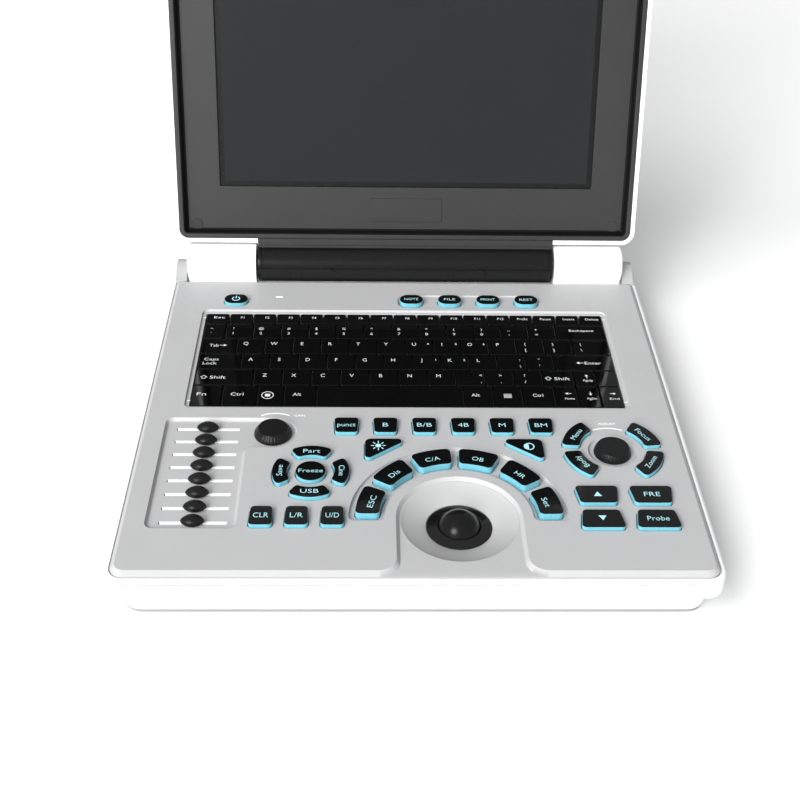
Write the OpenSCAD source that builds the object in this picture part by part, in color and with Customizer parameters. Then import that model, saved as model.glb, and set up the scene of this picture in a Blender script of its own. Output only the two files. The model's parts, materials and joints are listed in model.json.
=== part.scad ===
// Laptop-style ultrasound scanner: a flat console with a keyboard, gain sliders,
// knobs, a trackball and shaped keys, and a display lid on a round hinge barrel.
// Console features are placed in deck coordinates: Z = 0 on the flat deck, Y = 0 at
// the front seam. The whole part stands with its feet on Z = 0, centred in X and Y.

/* [Case] */
// Overall width of the case
case_w = 340; // [338:1:344]
// Height of the flat deck above the surface under the feet
deck_z = 34; // [34:0.5:38]
// Corner radius of the case seen from above
case_corner_r = 12; // [10:1:14]
// Wall thickness of the case shells
wall = 2.4; // [2:0.1:2.8]
// How far the lower tray sits in from the case sides
tray_inset = 6.5; // [5:0.5:8]
// Height of the rubber feet
foot_h = 2.5; // [2:0.5:3]

/* [Display] */
// Rest opening of the lid past upright, in degrees
lid_lean = 16; // [10:1:25]
// Width of the display lid
lid_w = 334; // [330:1:334]
// Distance from the hinge axis to the far edge of the lid
lid_reach = 312; // [308:1:320]
// Thickness of the display lid
lid_thick = 24; // [22:0.5:26]
// Width of the screen opening
screen_w = 268; // [240:1:280]
// Height of the screen opening
screen_h = 214; // [190:1:220]
// Depth of the dished face inside the lid's rim
bezel_recess = 6.5; // [6:0.1:7]

/* [Hinge] */
// Radius of the black centre barrel
barrel_r = 13.5; // [13:0.1:13.6]
// Half the length of the centre barrel
barrel_half = 107.5; // [100:0.5:110]
// Radius of the white end drums
cap_r = 14.5; // [14:0.1:14.8]
// Radius of the steel hinge shafts
shaft_r = 3.5; // [3:0.1:4]

/* [Controls] */
// Height of the shaped keys above the deck
key_h = 2.6; // [2:0.1:3.5]
// Travel of the shaped keys
key_travel = 1.8; // [1:0.1:1.8]
// Gap around each shaped key
key_gap = 0.4; // [0.3:0.05:0.5]
// Diameter of the trackball
ball_d = 25; // [24:0.5:25]
// Number of gain sliders
slider_count = 8; // [8:1:8]
// Spacing of the gain sliders
slider_pitch = 12.25; // [12:0.05:12.5]
// Travel of a gain slider to each side
slider_travel = 15; // [12:0.5:16]

/* [Keyboard] */
// Pitch of the letter keys
letter_pitch = 19; // [19:0.05:19.05]
// Gap between keyboard keys
letter_gap = 0.8; // [0.6:0.1:1.2]
// Travel of the keyboard keys
letter_travel = 2; // [1:0.1:2]

/* [Hidden] */
$fn = 48;
eps = 0.01;

// Case levels in deck coordinates
case_front = -3.5;
case_rear = 334;
deck_rear = 302.5;
rim_top = -2.2;
case_bottom = -15.5;
tray_front = case_front + tray_inset + 1;
tray_rear = case_rear - 3;
tray_bottom = foot_h - deck_z;
shelf_top = -10.5;
panel_half_w = 166.3;
flange_in_z = case_bottom + 2.5;
ear_x = 163.4;
ear_r = 16;
ear_half = 4.1;
floor_half_w = 158.5;
floor_front = 8.5;
cap_end = 158.6;
shaft_ends = [98, 147];
shaft_room = 2;
panel_under = -4.5;
panel_step = -2;

// Hinge axis in deck coordinates
axis_y = 318;
axis_z = 6.5;

// Lid levels along the lid's own normal, measured from the hinge axis
lid_near = 16;
lid_front = 5.9;
lid_back = lid_front - lid_thick;
lid_soft = 5;
cover_front = lid_front - 0.4;
rim_w = 3.2;
neck_half = 107.4;
bezel_face = lid_front - bezel_recess;
bezel_thick = 2;
bezel_lip = 4.2;
screen_near = 56;
screen_margin = 5;
screen_thick = 8;
plate_w = 52;
plate_h = 17;
plate_near = 31;
plug_in = 12.2;

// The part is centred over its own length at rest
lid_tip_y = axis_y + (lid_reach - lid_soft) * sin(lid_lean) - lid_back * cos(lid_lean);
mid_y = (case_front + lid_tip_y) / 2;

// Keys
flange = 0.9;
flange_top = panel_under - 0.7;
flange_bottom = flange_top - 1.4;
board_top = -9.4;
board_thick = 1.6;

// Trackball
ball_at = [25.4, 45.8, -9.8];
ball_gap = 0.3;
dish_r = 33.6;
seat_r = 18.9;
seat_rim_z = -7;
seat_mouth_z = -5.3;
tongue_half = 35.5;
tongue_r = 36;
tongue_flare = 12;
channel_in = 42.5;
channel_out = 63.2;
channel_z = -2;

// Curved keys around the trackball: name and direction from its centre
ARC_KEYS = [
    ["escape_key", 166.9], ["distance_key", 135.3], ["circumference_key", 104.9],
    ["obstetrics_key", 75.3], ["heart_rate_key", 44.5], ["set_key", 12.9]
];
arc_in = 45.4;
arc_out = 59.6;
arc_half = 12.4;

// Four-way pad on the left: name, direction and how far the key is shifted outwards
pad_at = [-60.6, 84.2];
PAD_KEYS = [["body_part_key", 90, 0.9], ["save_key", 180, 0.2], ["usb_key", 270, 0.9], ["cine_key", 0, 0.2]];
pad_in = 13.7;
pad_out = 22.8;
pad_half = 33;
freeze_r = 9;

// Ring of keys around the right knob
menu_at = [121.8, 106.3];
RING_KEYS = [["menu_key", 147.5], ["focus_key", 32.5], ["body_mark_key", 212.5], ["zoom_key", 327.5]];
ring_in = 19.8;
ring_out = 30.7;
ring_half = 26.5;
menu_recess_r = 14.8;
menu_recess_z = -2;
menu_knob_r = [11.4, 9.9];

// Straight-sided keys: name, centre, width at the rear, width at the front, depth
SLAB_KEYS = [
    ["clear_key", [-87.2, 45], 12.6, 13.8, 15.9],
    ["flip_side_key", [-67.1, 45], 12.6, 13.8, 15.9],
    ["flip_up_down_key", [-46.8, 45], 12.6, 13.8, 15.9],
    ["up_key", [106.3, 63.8], 25.7, 21.4, 15.2],
    ["frequency_key", [138, 63.7], 25.7, 21.4, 15.2],
    ["down_key", [106.3, 42.8], 21.4, 25.7, 15.2],
    ["probe_key", [137.9, 42.8], 21.4, 25.7, 15.2]
];

// Rows of equal keys
mode_at = [-40.2, 128.6];
mode_pitch = 24.1;
mode_size = [15.6, 13.8, 14.8];
mode_count = 6;
function_at = [3.5, 274.9];
function_pitch = 27.3;
function_count = 4;
oval_w = 16.8;
oval_d = 12;
power_at = [-120.8, 274.3];

// Corner keys: the square corner and the two leg lengths
brightness_at = [-28.9, 115];
contrast_at = [79.6, 115];
corner_leg = [27.8, 21];
corner_round = 2.4;

// Gain sliders and left knob
slider_at = [-125.6, 43];
slider_slot = [2 * slider_travel + 8.4, 2];
slider_recess = [-152.3, -100.8, 36.6, 138.3];
slider_recess_z = -2;
slider_ball_r = 7;
slider_ball_z = -3.6;
gain_at = [-85.2, 123.9];
gain_lobe_r = 14.6;
gain_knob_r = [11.7, 9.4];
knob_top = 3.7;
knob_shaft_r = 3;

// Keyboard
keys_left = -140.2;
keys_rear = 260.8;
keys_top = -1.4;
keys_deep = 4;
surround = 3.3;
keys_w = 277.6;
arrow_w = 14.5;
ROW_DEPTHS = [13.2, 18.2, 18.5, 18, 18, 23];
function total(list, count) = count == 0 ? 0 : list[count - 1] + total(list, count - 1);
keys_d = total(ROW_DEPTHS, len(ROW_DEPTHS));
// One row: its first key, then equal letter keys, then a last key that fills the row
function letter_row(first, count) =
    [first, for (i = [1 : count]) letter_pitch, keys_w - first - count * letter_pitch];
ROW_WIDTHS = [
    [for (i = [1 : 17]) keys_w / 17],
    letter_row(15, 12),
    letter_row(24, 12),
    letter_row(28.6, 11),
    [38, for (i = [1 : 10]) letter_pitch, keys_w - 38 - 2 * arrow_w - 10 * letter_pitch, arrow_w, arrow_w],
    [19.6, 22.5, 17, 21, keys_w - 139.1 - 3 * arrow_w, 19, 19, 21, arrow_w, arrow_w, arrow_w]
];

// Screw posts between the tray and the deck
POSTS = [
    for (x = [-153, 153]) for (y = [22, 145, 290]) [x, y],
    [-10, 20], [60, 20]
];
post_r = 4;
screw_r = 1.5;
screw_head_r = 2.8;

// Rear sockets; each port is its centre in X, its outer width and height, then its hole's
socket_z = -22;
probe_x = -95;
probe_size = [62, 12];
probe_hole = [52, 8];
probe_depth = 10;
PORTS = [[20, 16, 12, 12, 9], [48, 15, 8, 12.4, 5], [70, 15, 8, 12.4, 5], [98, 18, 10, 15, 7]];
port_depth = 11;

// ---- Placing ----

module on_deck() {
    translate([0, -mid_y, deck_z]) children();
}

// Lid coordinates: X along the hinge, Y up the lid from the hinge axis, Z towards the user
module on_lid() {
    on_deck() translate([0, axis_y, axis_z]) rotate([90 - lid_lean, 0, 0]) children();
}

module layer(z0, z1) {
    translate([0, 0, z0]) linear_extrude(z1 - z0) children();
}

module box(x0, x1, y0, y1, z0, z1) {
    translate([x0, y0, z0]) cube([x1 - x0, y1 - y0, z1 - z0]);
}

module rod_x(r, x0, x1) {
    translate([x0, 0, 0]) rotate([0, 90, 0]) cylinder(r = r, h = x1 - x0);
}

module round_rect(x0, x1, y0, y1, r) {
    translate([x0 + r, y0 + r]) offset(r = r, $fn = 32) square([x1 - x0 - 2 * r, y1 - y0 - 2 * r]);
}

// ---- Outlines of the keys; grow widens them all round ----

module sector_2d(r_in, r_out, angle, half, grow) {
    apex = -grow / sin(half);
    reach = 2 * r_out;
    rotate(angle) intersection() {
        difference() {
            circle(r = r_out + grow);
            circle(r = r_in - grow);
        }
        polygon([[apex, 0], [reach, -(reach - apex) * tan(half)], [reach, (reach - apex) * tan(half)]]);
    }
}

module slab_2d(rear_w, front_w, depth, grow) {
    polygon([
        [-front_w / 2 - grow, -depth / 2 - grow], [front_w / 2 + grow, -depth / 2 - grow],
        [rear_w / 2 + grow, depth / 2 + grow], [-rear_w / 2 - grow, depth / 2 + grow]
    ]);
}

module oval_2d(grow) {
    run = (oval_w - oval_d) / 2;
    for (side = [-1, 1]) translate([side * run, 0]) circle(d = oval_d + 2 * grow);
    square([2 * run, oval_d + 2 * grow], center = true);
}

module corner_2d(side, grow) {
    offset(r = corner_round + grow, $fn = 16) offset(delta = -corner_round)
        polygon([[0, 0], [side * corner_leg.x, 0], [0, -corner_leg.y]]);
}

module mode_2d(grow) {
    slab_2d(mode_size[0], mode_size[1], mode_size[2], grow);
}

module every_key_2d(grow) {
    translate([ball_at.x, ball_at.y])
        for (k = ARC_KEYS) sector_2d(arc_in, arc_out, k[1], arc_half, grow);
    translate(pad_at) {
        for (k = PAD_KEYS) sector_2d(pad_in + k[2], pad_out + k[2], k[1], pad_half, grow);
        circle(r = freeze_r + grow);
    }
    translate(menu_at) for (k = RING_KEYS) sector_2d(ring_in, ring_out, k[1], ring_half, grow);
    for (k = SLAB_KEYS) translate(k[1]) slab_2d(k[2], k[3], k[4], grow);
    for (i = [0 : mode_count - 1]) translate(mode_at + [i * mode_pitch, 0]) mode_2d(grow);
    for (i = [0 : function_count - 1]) translate(function_at + [i * function_pitch, 0]) oval_2d(grow);
    translate(power_at) oval_2d(grow);
    translate(brightness_at) corner_2d(1, grow);
    translate(contrast_at) corner_2d(-1, grow);
}

// ---- Case ----

module case_layer(inset, z0, z1) {
    layer(z0, z1) round_rect(inset - case_w / 2, case_w / 2 - inset, case_front + inset,
        case_rear - inset, case_corner_r - inset);
}

module tray_layer(inset, rear_inset, z0, z1) {
    half = case_w / 2 - tray_inset - inset;
    layer(z0, z1) round_rect(-half, half, tray_front + inset, tray_rear - rear_inset, case_corner_r - inset);
}

module main_case() {
    color("white") on_deck() difference() {
        union() {
            hull() {
                case_layer(3, case_bottom, case_bottom + 0.5);
                case_layer(0, case_bottom + 4, rim_top - 4);
                case_layer(1.6, rim_top - 0.4, rim_top);
            }
            for (side = [-1, 1]) intersection() {
                translate([side * ear_x, axis_y, axis_z - ear_r]) rod_x(ear_r, -ear_half, ear_half);
                box(-case_w, case_w, deck_rear - 3, case_rear, case_bottom + 1, axis_z);
            }
        }
        // room for the deck panel, then a ledge that carries it
        layer(panel_under, 20) panel_outline(0.3);
        box(-panel_half_w + 3, panel_half_w - 3, 3.5, deck_rear - 3, flange_in_z, 0);
        box(-floor_half_w, floor_half_w, floor_front, deck_rear - 3, case_bottom - 1, flange_in_z + eps);
        // trough for the hinge, open at the rear
        box(-ear_x + ear_half, ear_x - ear_half, deck_rear, case_rear + 1, shelf_top, 20);
        box(-floor_half_w, floor_half_w, deck_rear + 3, case_rear - 4, case_bottom - 1, shelf_top - wall);
    }
}

module bottom_case() {
    color("white") on_deck() {
        difference() {
            hull() {
                tray_layer(5, 0, tray_bottom, tray_bottom + 0.5);
                tray_layer(0, 0, tray_bottom + 5, case_bottom);
            }
            tray_layer(wall + 2, wall, tray_bottom + wall, case_bottom + 1);
            for (p = POSTS) translate(p) layer(tray_bottom - 1, 0) circle(r = screw_head_r + 0.1);
            for (x = [100 : 8 : 148]) box(x, x + 3, 60, 95, tray_bottom - 1, tray_bottom + 4);
            rear_hole(probe_x, probe_size.x, probe_size.y);
            for (p = PORTS) rear_hole(p[0], p[1], p[2]);
        }
        for (p = POSTS) translate(p) difference() {
            layer(tray_bottom, panel_under - 3.2) circle(r = post_r);
            layer(tray_bottom - 1, tray_bottom + 4) circle(r = screw_head_r + 0.1);
            layer(tray_bottom, 0) circle(r = screw_r + 0.1);
        }
    }
}

module rear_hole(x, w, h) {
    box(x - w / 2 - 0.2, x + w / 2 + 0.2, tray_rear - 6, tray_rear + 1,
        socket_z - h / 2 - 0.2, socket_z + h / 2 + 0.2);
}

module rubber_feet() {
    color("dimgray") on_deck() for (x = [-140, 140]) for (y = [30, 300])
        translate([x, y, -deck_z]) cylinder(r1 = 8, r2 = 9, h = foot_h);
}

module case_screws() {
    color("gray") on_deck() for (p = POSTS) translate([p.x, p.y, tray_bottom + 1.6]) {
        cylinder(r = screw_head_r, h = 2.4 - eps);
        cylinder(r = screw_r, h = panel_under - 1.6 - tray_bottom - eps);
    }
}

// ---- Deck ----

module panel_outline(grow) {
    round_rect(-panel_half_w - grow, panel_half_w + grow, -grow, deck_rear + grow, 8 + grow);
    translate([-panel_half_w - grow, deck_rear / 2])
        square([2 * (panel_half_w + grow), deck_rear / 2 + grow]);
}

module tongue_2d() {
    translate([ball_at.x, 0]) {
        translate([0, ball_at.y]) circle(r = tongue_r);
        translate([-tongue_half, -5]) square([2 * tongue_half, ball_at.y + 5]);
        for (side = [-1, 1]) difference() {
            translate([side * (tongue_half + tongue_flare / 2), tongue_flare / 2 - 2.5])
                square([tongue_flare, tongue_flare + 5], center = true);
            translate([side * (tongue_half + tongue_flare), tongue_flare]) circle(r = tongue_flare);
            translate([side * (tongue_half + tongue_flare), tongue_flare + 10])
                square([2 * tongue_flare, 20], center = true);
        }
    }
}

module channel_2d() {
    translate([ball_at.x, ball_at.y]) intersection() {
        difference() {
            circle(r = channel_out);
            circle(r = channel_in);
        }
        translate([-channel_out, -2.5]) square([2 * channel_out, channel_out + 3]);
    }
}

module slider_recess_2d() {
    translate([slider_recess[0], slider_recess[2]])
        square([slider_recess[1] - slider_recess[0], slider_recess[3] - slider_recess[2]]);
    translate([slider_recess[1] - 1, gain_at.y - gain_lobe_r])
        square([gain_at.x - slider_recess[1] + 1, 2 * gain_lobe_r]);
    translate(gain_at) circle(r = gain_lobe_r);
}

module keyboard_2d(grow) {
    translate([keys_left - grow, keys_rear - keys_d - grow])
        square([keys_w + 2 * grow, keys_d + 2 * grow]);
}

module console_panel() {
    color("lightgray") on_deck() difference() {
        union() {
            layer(panel_under, panel_step) panel_outline(0);
            layer(panel_step, panel_step / 2) panel_outline(-0.6);
            layer(panel_step / 2, 0) panel_outline(-2.6);
            translate([ball_at.x, ball_at.y, 0]) rotate_extrude()
                polygon([[seat_r + 0.2, seat_rim_z - 2], [seat_r + 3, seat_rim_z - 2],
                    [dish_r + 3, panel_under], [seat_r + 0.2, panel_under]]);
            for (p = POSTS) translate(p) layer(panel_under - 3, panel_under) circle(r = post_r);
        }
        layer(-10, 5) every_key_2d(key_gap);
        layer(channel_z, 5) channel_2d();
        layer(panel_step, 5) tongue_2d();
        layer(slider_recess_z, 5) slider_recess_2d();
        layer(menu_recess_z, 5) translate(menu_at) circle(r = menu_recess_r);
        layer(-1, 5) translate([function_at.x, function_at.y - 8])
            square([(function_count - 1) * function_pitch, 17]);
        layer(-10, 5) keyboard_2d(0.4);
        layer(keys_top, 5) keyboard_2d(surround);
        for (i = [0 : slider_count - 1]) translate([slider_at.x, slider_at.y + i * slider_pitch, 0])
            cube([slider_slot.x, slider_slot.y, 20], center = true);
        for (at = [gain_at, menu_at]) layer(-10, 5) translate(at) circle(r = knob_shaft_r + 1);
        translate([ball_at.x, ball_at.y, 0]) rotate_extrude()
            polygon([[0, -12], [seat_r + 0.2, -12], [seat_r + 0.2, seat_rim_z], [dish_r, panel_step],
                [dish_r, 1], [0, 1]]);
        for (p = POSTS) translate(p) layer(panel_under - 4, panel_under + 1.5) circle(r = screw_r + 0.1);
    }
}

module trackball_seat() {
    hollow_r = ball_d / 2 + ball_gap;
    mouth_r = sqrt(pow(hollow_r, 2) - pow(seat_mouth_z - ball_at.z, 2));
    flange_z = seat_rim_z - 2.1;
    color("black") on_deck() translate([ball_at.x, ball_at.y, 0]) difference() {
        rotate_extrude() polygon([[0, ball_at.z - 14.2], [14, ball_at.z - 14.2], [seat_r, ball_at.z - 10],
            [seat_r, flange_z - 2], [seat_r + 5, flange_z - 2], [seat_r + 5, flange_z],
            [seat_r, flange_z], [seat_r, seat_rim_z], [mouth_r, seat_mouth_z], [0, seat_mouth_z]]);
        translate([0, 0, ball_at.z]) sphere(r = hollow_r);
    }
}

module keyboard_frame() {
    under = keys_top - keys_deep - letter_travel - 0.4;
    color("dimgray") on_deck() {
        layer(under - 2, under) keyboard_2d(4);
        layer(under - eps, panel_under - 0.1) difference() {
            keyboard_2d(4);
            keyboard_2d(0.2);
        }
    }
}

module control_board() {
    color("green") on_deck() {
        difference() {
            layer(board_top - board_thick, board_top) translate([-148, 30]) square([296, 109]);
            layer(-20, 0) translate([ball_at.x, ball_at.y]) circle(r = dish_r + 4);
        }
        for (at = [gain_at, menu_at]) translate([at.x, at.y, board_top]) difference() {
            layer(0, 3) square(13, center = true);
            layer(-1, 4) circle(r = knob_shaft_r + 0.2);
        }
        layer(board_top, flange_bottom - key_travel - 0.2) {
            translate([ball_at.x, ball_at.y]) for (k = ARC_KEYS) rotate(k[1]) translate([52.5, 0]) circle(r = 2.5);
            translate(pad_at) for (k = PAD_KEYS) rotate(k[1]) translate([18.2, 0]) circle(r = 2.5);
            translate(pad_at) circle(r = 2.5);
            translate(menu_at) for (k = RING_KEYS) rotate(k[1]) translate([24.5, 0]) circle(r = 2.5);
            for (k = SLAB_KEYS) translate(k[1]) circle(r = 2.5);
            for (i = [0 : mode_count - 1]) translate(mode_at + [i * mode_pitch, 0]) circle(r = 2.5);
        }
    }
}

module slider_pots() {
    color("silver") on_deck() for (i = [0 : slider_count - 1])
        translate([slider_at.x, slider_at.y + i * slider_pitch, board_top]) difference() {
            translate([-23, -4.5, 0]) cube([46, 9, 4.2]);
            translate([-slider_slot.x / 2, -slider_slot.y / 2, 1]) cube([slider_slot.x, slider_slot.y, 5]);
        }
}

module main_board() {
    color("darkgreen") on_deck() {
        layer(-27, -25.4) translate([20, 120]) square([130, 170]);
        layer(-25.4, -22.4) translate([50, 200]) square(34);
        layer(-25.4, -21.4) translate([100, 150]) square([36, 60]);
        layer(-25.4, -24) for (y = [135 : 14 : 177]) translate([30, y]) square([60, 8]);
        for (x = [26, 144]) for (y = [126, 284]) translate([x, y]) layer(tray_bottom + wall, -27) circle(r = 3);
    }
}

module battery_pack() {
    color("darkslategray") on_deck() difference() {
        box(-144, -16, 150, 230, tray_bottom + wall, -12);
        box(-100, -60, 149, 152, -20, -14);
    }
}

module probe_socket() {
    color("dimgray") on_deck() difference() {
        box(probe_x - probe_size.x / 2, probe_x + probe_size.x / 2, tray_rear - 16, tray_rear,
            socket_z - probe_size.y / 2, socket_z + probe_size.y / 2);
        box(probe_x - probe_hole.x / 2, probe_x + probe_hole.x / 2, tray_rear - probe_depth, tray_rear + 1,
            socket_z - probe_hole.y / 2, socket_z + probe_hole.y / 2);
    }
}

module rear_ports() {
    color("silver") on_deck() for (p = PORTS) difference() {
        box(p[0] - p[1] / 2, p[0] + p[1] / 2, tray_rear - 14, tray_rear,
            socket_z - p[2] / 2, socket_z + p[2] / 2);
        box(p[0] - p[3] / 2, p[0] + p[3] / 2, tray_rear - port_depth, tray_rear + 1,
            socket_z - p[4] / 2, socket_z + p[4] / 2);
    }
}

// ---- Hinge ----

// The same shape at both ends of the hinge
module both_ends() {
    children();
    mirror([1, 0, 0]) children();
}

module hinge_caps() {
    color("white") on_deck() both_ends() translate([0, axis_y, axis_z]) difference() {
        union() {
            rod_x(cap_r, barrel_half + 1, cap_end);
            box(barrel_half + 1, cap_end, -12, 12, shelf_top - axis_z, 0);
        }
        rod_x(shaft_r + 0.05, barrel_half, shaft_ends[1] + shaft_room);
    }
}

module hinge_shafts() {
    color("silver") on_deck() both_ends() translate([0, axis_y, axis_z])
        rod_x(shaft_r, shaft_ends[0], shaft_ends[1]);
}

module hinge_barrel() {
    inner_r = barrel_r - 3;
    color("black") on_lid() difference() {
        union() {
            rod_x(barrel_r, -barrel_half, barrel_half);
            box(-neck_half, neck_half, 8, lid_near, -9, 4.8);
            box(-neck_half, neck_half, lid_near - eps, lid_near + rim_w, 1, lid_front);
        }
        rod_x(inner_r, -shaft_ends[0] + 0.5, shaft_ends[0] - 0.5);
        rod_x(shaft_r + 0.05, -barrel_half - 1, barrel_half + 1);
    }
}

module barrel_strip() {
    color("black") on_deck() translate([0, axis_y, axis_z]) {
        difference() {
            box(-barrel_half + 2, barrel_half - 2, -14.2, -9, -7.5, 2.4);
            rod_x(barrel_r, -barrel_half, barrel_half);
        }
        for (x = [-55, 55]) translate([x, -14.2, -0.4]) rotate([90, 0, 0]) cylinder(r = 3.4, h = 0.6);
    }
}

// ---- Display lid, in lid coordinates ----

module lid_layer(inset, z0, z1) {
    layer(z0, z1) round_rect(inset - lid_w / 2, lid_w / 2 - inset, lid_near + inset, lid_reach - inset,
        max(9 - inset, 3));
}

module display_cover() {
    color("white") on_lid() difference() {
        hull() {
            lid_layer(0, lid_back + lid_soft, cover_front);
            lid_layer(lid_soft, lid_back, lid_back + 0.5);
        }
        lid_layer(rim_w, lid_back + wall + 1, cover_front + 1);
        box(-neck_half - 0.1, neck_half + 0.1, lid_near - 1, lid_near + rim_w + 1, 0.9, lid_front + 1);
    }
}

module display_bezel() {
    color("dimgray") on_lid() difference() {
        lid_layer(rim_w + 0.1, bezel_face - bezel_thick, lid_front);
        lid_layer(rim_w + bezel_lip, bezel_face, lid_front + 1);
        layer(-20, 20) translate([-screen_w / 2, screen_near]) square([screen_w, screen_h]);
    }
    color("dimgray") on_lid() layer(bezel_face, bezel_face + 0.6) translate([-plate_w / 2, plate_near])
        square([plate_w, plate_h]);
}

module display_screen() {
    color("black") on_lid() box(-screen_w / 2 - screen_margin, screen_w / 2 + screen_margin,
        screen_near - screen_margin, screen_near + screen_h + screen_margin,
        bezel_face - bezel_thick - screen_thick, bezel_face - bezel_thick - eps);
}

module bezel_plugs() {
    color("black") on_lid() for (side = [-1, 1]) for (y = [lid_near + plug_in, lid_reach - plug_in])
        translate([side * (lid_w / 2 - plug_in - rim_w), y, bezel_face]) cylinder(r = 4.2, h = 0.5);
}

// ---- Moving controls ----

// One key: a cap through the deck and a flange under it
module key_solid() {
    on_deck() {
        layer(flange_top - eps, key_h) children(0);
        layer(flange_bottom, flange_top) children(1);
    }
}

module sector_key(at, r_in, r_out, angle, half) {
    color("skyblue") key_solid() {
        translate(at) sector_2d(r_in, r_out, angle, half, 0);
        translate(at) sector_2d(r_in, r_out, angle, half, flange);
    }
}

module slab_key(k) {
    color("skyblue") key_solid() {
        translate(k[1]) slab_2d(k[2], k[3], k[4], 0);
        translate(k[1]) slab_2d(k[2], k[3], k[4], flange);
    }
}

module freeze_key() {
    color("skyblue") key_solid() {
        translate(pad_at) circle(r = freeze_r);
        translate(pad_at) circle(r = freeze_r + flange);
    }
}

module corner_key(at, side) {
    color("skyblue") key_solid() {
        translate(at) corner_2d(side, 0);
        translate(at) corner_2d(side, flange);
    }
}

module oval_key(at) {
    color("skyblue") key_solid() {
        translate(at) oval_2d(0);
        translate(at) oval_2d(flange);
    }
}

module mode_keys() {
    for (i = [0 : mode_count - 1]) color("skyblue") key_solid() {
        translate(mode_at + [i * mode_pitch, 0]) mode_2d(0);
        translate(mode_at + [i * mode_pitch, 0]) mode_2d(flange);
    }
}

module function_keys() {
    for (i = [0 : function_count - 1]) oval_key(function_at + [i * function_pitch, 0]);
}

module gain_slider(i) {
    color("black") on_deck() translate([slider_at.x, slider_at.y + i * slider_pitch, 0]) {
        intersection() {
            translate([0, 0, slider_ball_z]) sphere(r = slider_ball_r);
            box(-8, 8, -4.6, 4.6, -1.4, 6);
        }
        box(-2.2, 2.2, -0.7, 0.7, -7.6, -1.4 + eps);
    }
}

module knob(at, radii, base_z) {
    color("black") on_deck() translate([at.x, at.y, 0]) difference() {
        rotate_extrude() polygon([[0, -8.6], [knob_shaft_r, -8.6], [knob_shaft_r, base_z],
            [radii[0], base_z], [radii[0], base_z + 1.5], [radii[1], knob_top], [0, knob_top]]);
        translate([0, radii[1] - 2.5, knob_top]) sphere(r = 1);
    }
}

module gain_knob() {
    knob(gain_at, gain_knob_r, slider_recess_z + 0.4);
}

module menu_knob() {
    knob(menu_at, menu_knob_r, menu_recess_z + 0.4);
}

module trackball() {
    color("black") on_deck() translate(ball_at) sphere(d = ball_d);
}

module keyboard_keys() {
    color("black") on_deck() for (row = [0 : len(ROW_DEPTHS) - 1]) {
        rear = keys_rear - total(ROW_DEPTHS, row);
        for (i = [0 : len(ROW_WIDTHS[row]) - 1]) {
            left = keys_left + total(ROW_WIDTHS[row], i);
            box(left + letter_gap / 2, left + ROW_WIDTHS[row][i] - letter_gap / 2,
                rear - ROW_DEPTHS[row] + letter_gap / 2, rear - letter_gap / 2, keys_top - keys_deep, keys_top);
        }
    }
}

// ---- Nodes ----

bottom_case();
main_case();
console_panel();
keyboard_frame();
trackball_seat();
control_board();
slider_pots();
main_board();
battery_pack();
probe_socket();
rear_ports();
rubber_feet();
case_screws();
hinge_caps();
hinge_shafts();
display_cover();
display_bezel();
display_screen();
hinge_barrel();
barrel_strip();
bezel_plugs();
for (i = [0 : slider_count - 1])
    gain_slider(i);
gain_knob();
menu_knob();
trackball();
keyboard_keys();
oval_key(power_at);  // power_key
function_keys();
mode_keys();
corner_key(brightness_at, 1);  // brightness_key
corner_key(contrast_at, -1);  // contrast_key
freeze_key();
for (k = ARC_KEYS)
    sector_key([ball_at.x, ball_at.y], arc_in, arc_out, k[1], arc_half);
for (k = PAD_KEYS)
    sector_key(pad_at, pad_in + k[2], pad_out + k[2], k[1], pad_half);
for (k = RING_KEYS)
    sector_key(menu_at, ring_in, ring_out, k[1], ring_half);
for (k = SLAB_KEYS)
    slab_key(k);
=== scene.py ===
"""Visual model of a laptop-style ultrasound scanner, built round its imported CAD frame.

Shapes are written in millimetres. Console pieces use deck coordinates: X to the right, Y from the
front seam to the rear, Z = 0 on the flat deck. Lid pieces use lid coordinates: X, the distance up the
lid from the hinge axis, and the height above the axis towards the user.
"""
import json
from collections import namedtuple
from functools import cache
from math import asin, atan2, cos, degrees, pi, radians, sin, sqrt

import bpy
import bmesh
from mathutils import Matrix, Vector
from mathutils.geometry import tessellate_polygon


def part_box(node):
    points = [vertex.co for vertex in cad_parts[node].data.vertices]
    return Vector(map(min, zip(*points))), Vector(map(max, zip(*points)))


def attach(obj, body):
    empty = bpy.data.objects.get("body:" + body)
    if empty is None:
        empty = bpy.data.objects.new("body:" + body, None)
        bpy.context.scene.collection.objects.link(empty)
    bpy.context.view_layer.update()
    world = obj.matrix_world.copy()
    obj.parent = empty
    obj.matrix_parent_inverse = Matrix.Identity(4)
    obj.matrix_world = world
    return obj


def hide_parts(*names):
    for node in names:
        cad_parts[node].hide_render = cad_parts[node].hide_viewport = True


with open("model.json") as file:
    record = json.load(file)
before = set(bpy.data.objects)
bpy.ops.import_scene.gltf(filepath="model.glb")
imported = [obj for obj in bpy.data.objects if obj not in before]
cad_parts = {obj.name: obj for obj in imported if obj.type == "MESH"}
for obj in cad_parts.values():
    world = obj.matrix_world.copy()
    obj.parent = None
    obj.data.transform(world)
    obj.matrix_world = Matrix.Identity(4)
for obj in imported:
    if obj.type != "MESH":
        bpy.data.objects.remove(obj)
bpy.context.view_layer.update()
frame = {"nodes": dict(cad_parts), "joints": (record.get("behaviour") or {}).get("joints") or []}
NODES = frame["nodes"]
SCENE = bpy.context.scene

MM = 0.001
LEAN = radians(16)
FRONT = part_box("console_panel")[0].y
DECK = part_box("console_panel")[1].z
HINGE = Vector(next(j for j in frame["joints"] if j["name"] == "lid_hinge")["pos_m"])


def new_object(name, data):
    obj = bpy.data.objects.new(name, data)
    SCENE.collection.objects.link(obj)
    return obj


# ---- Placing ----

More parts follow.
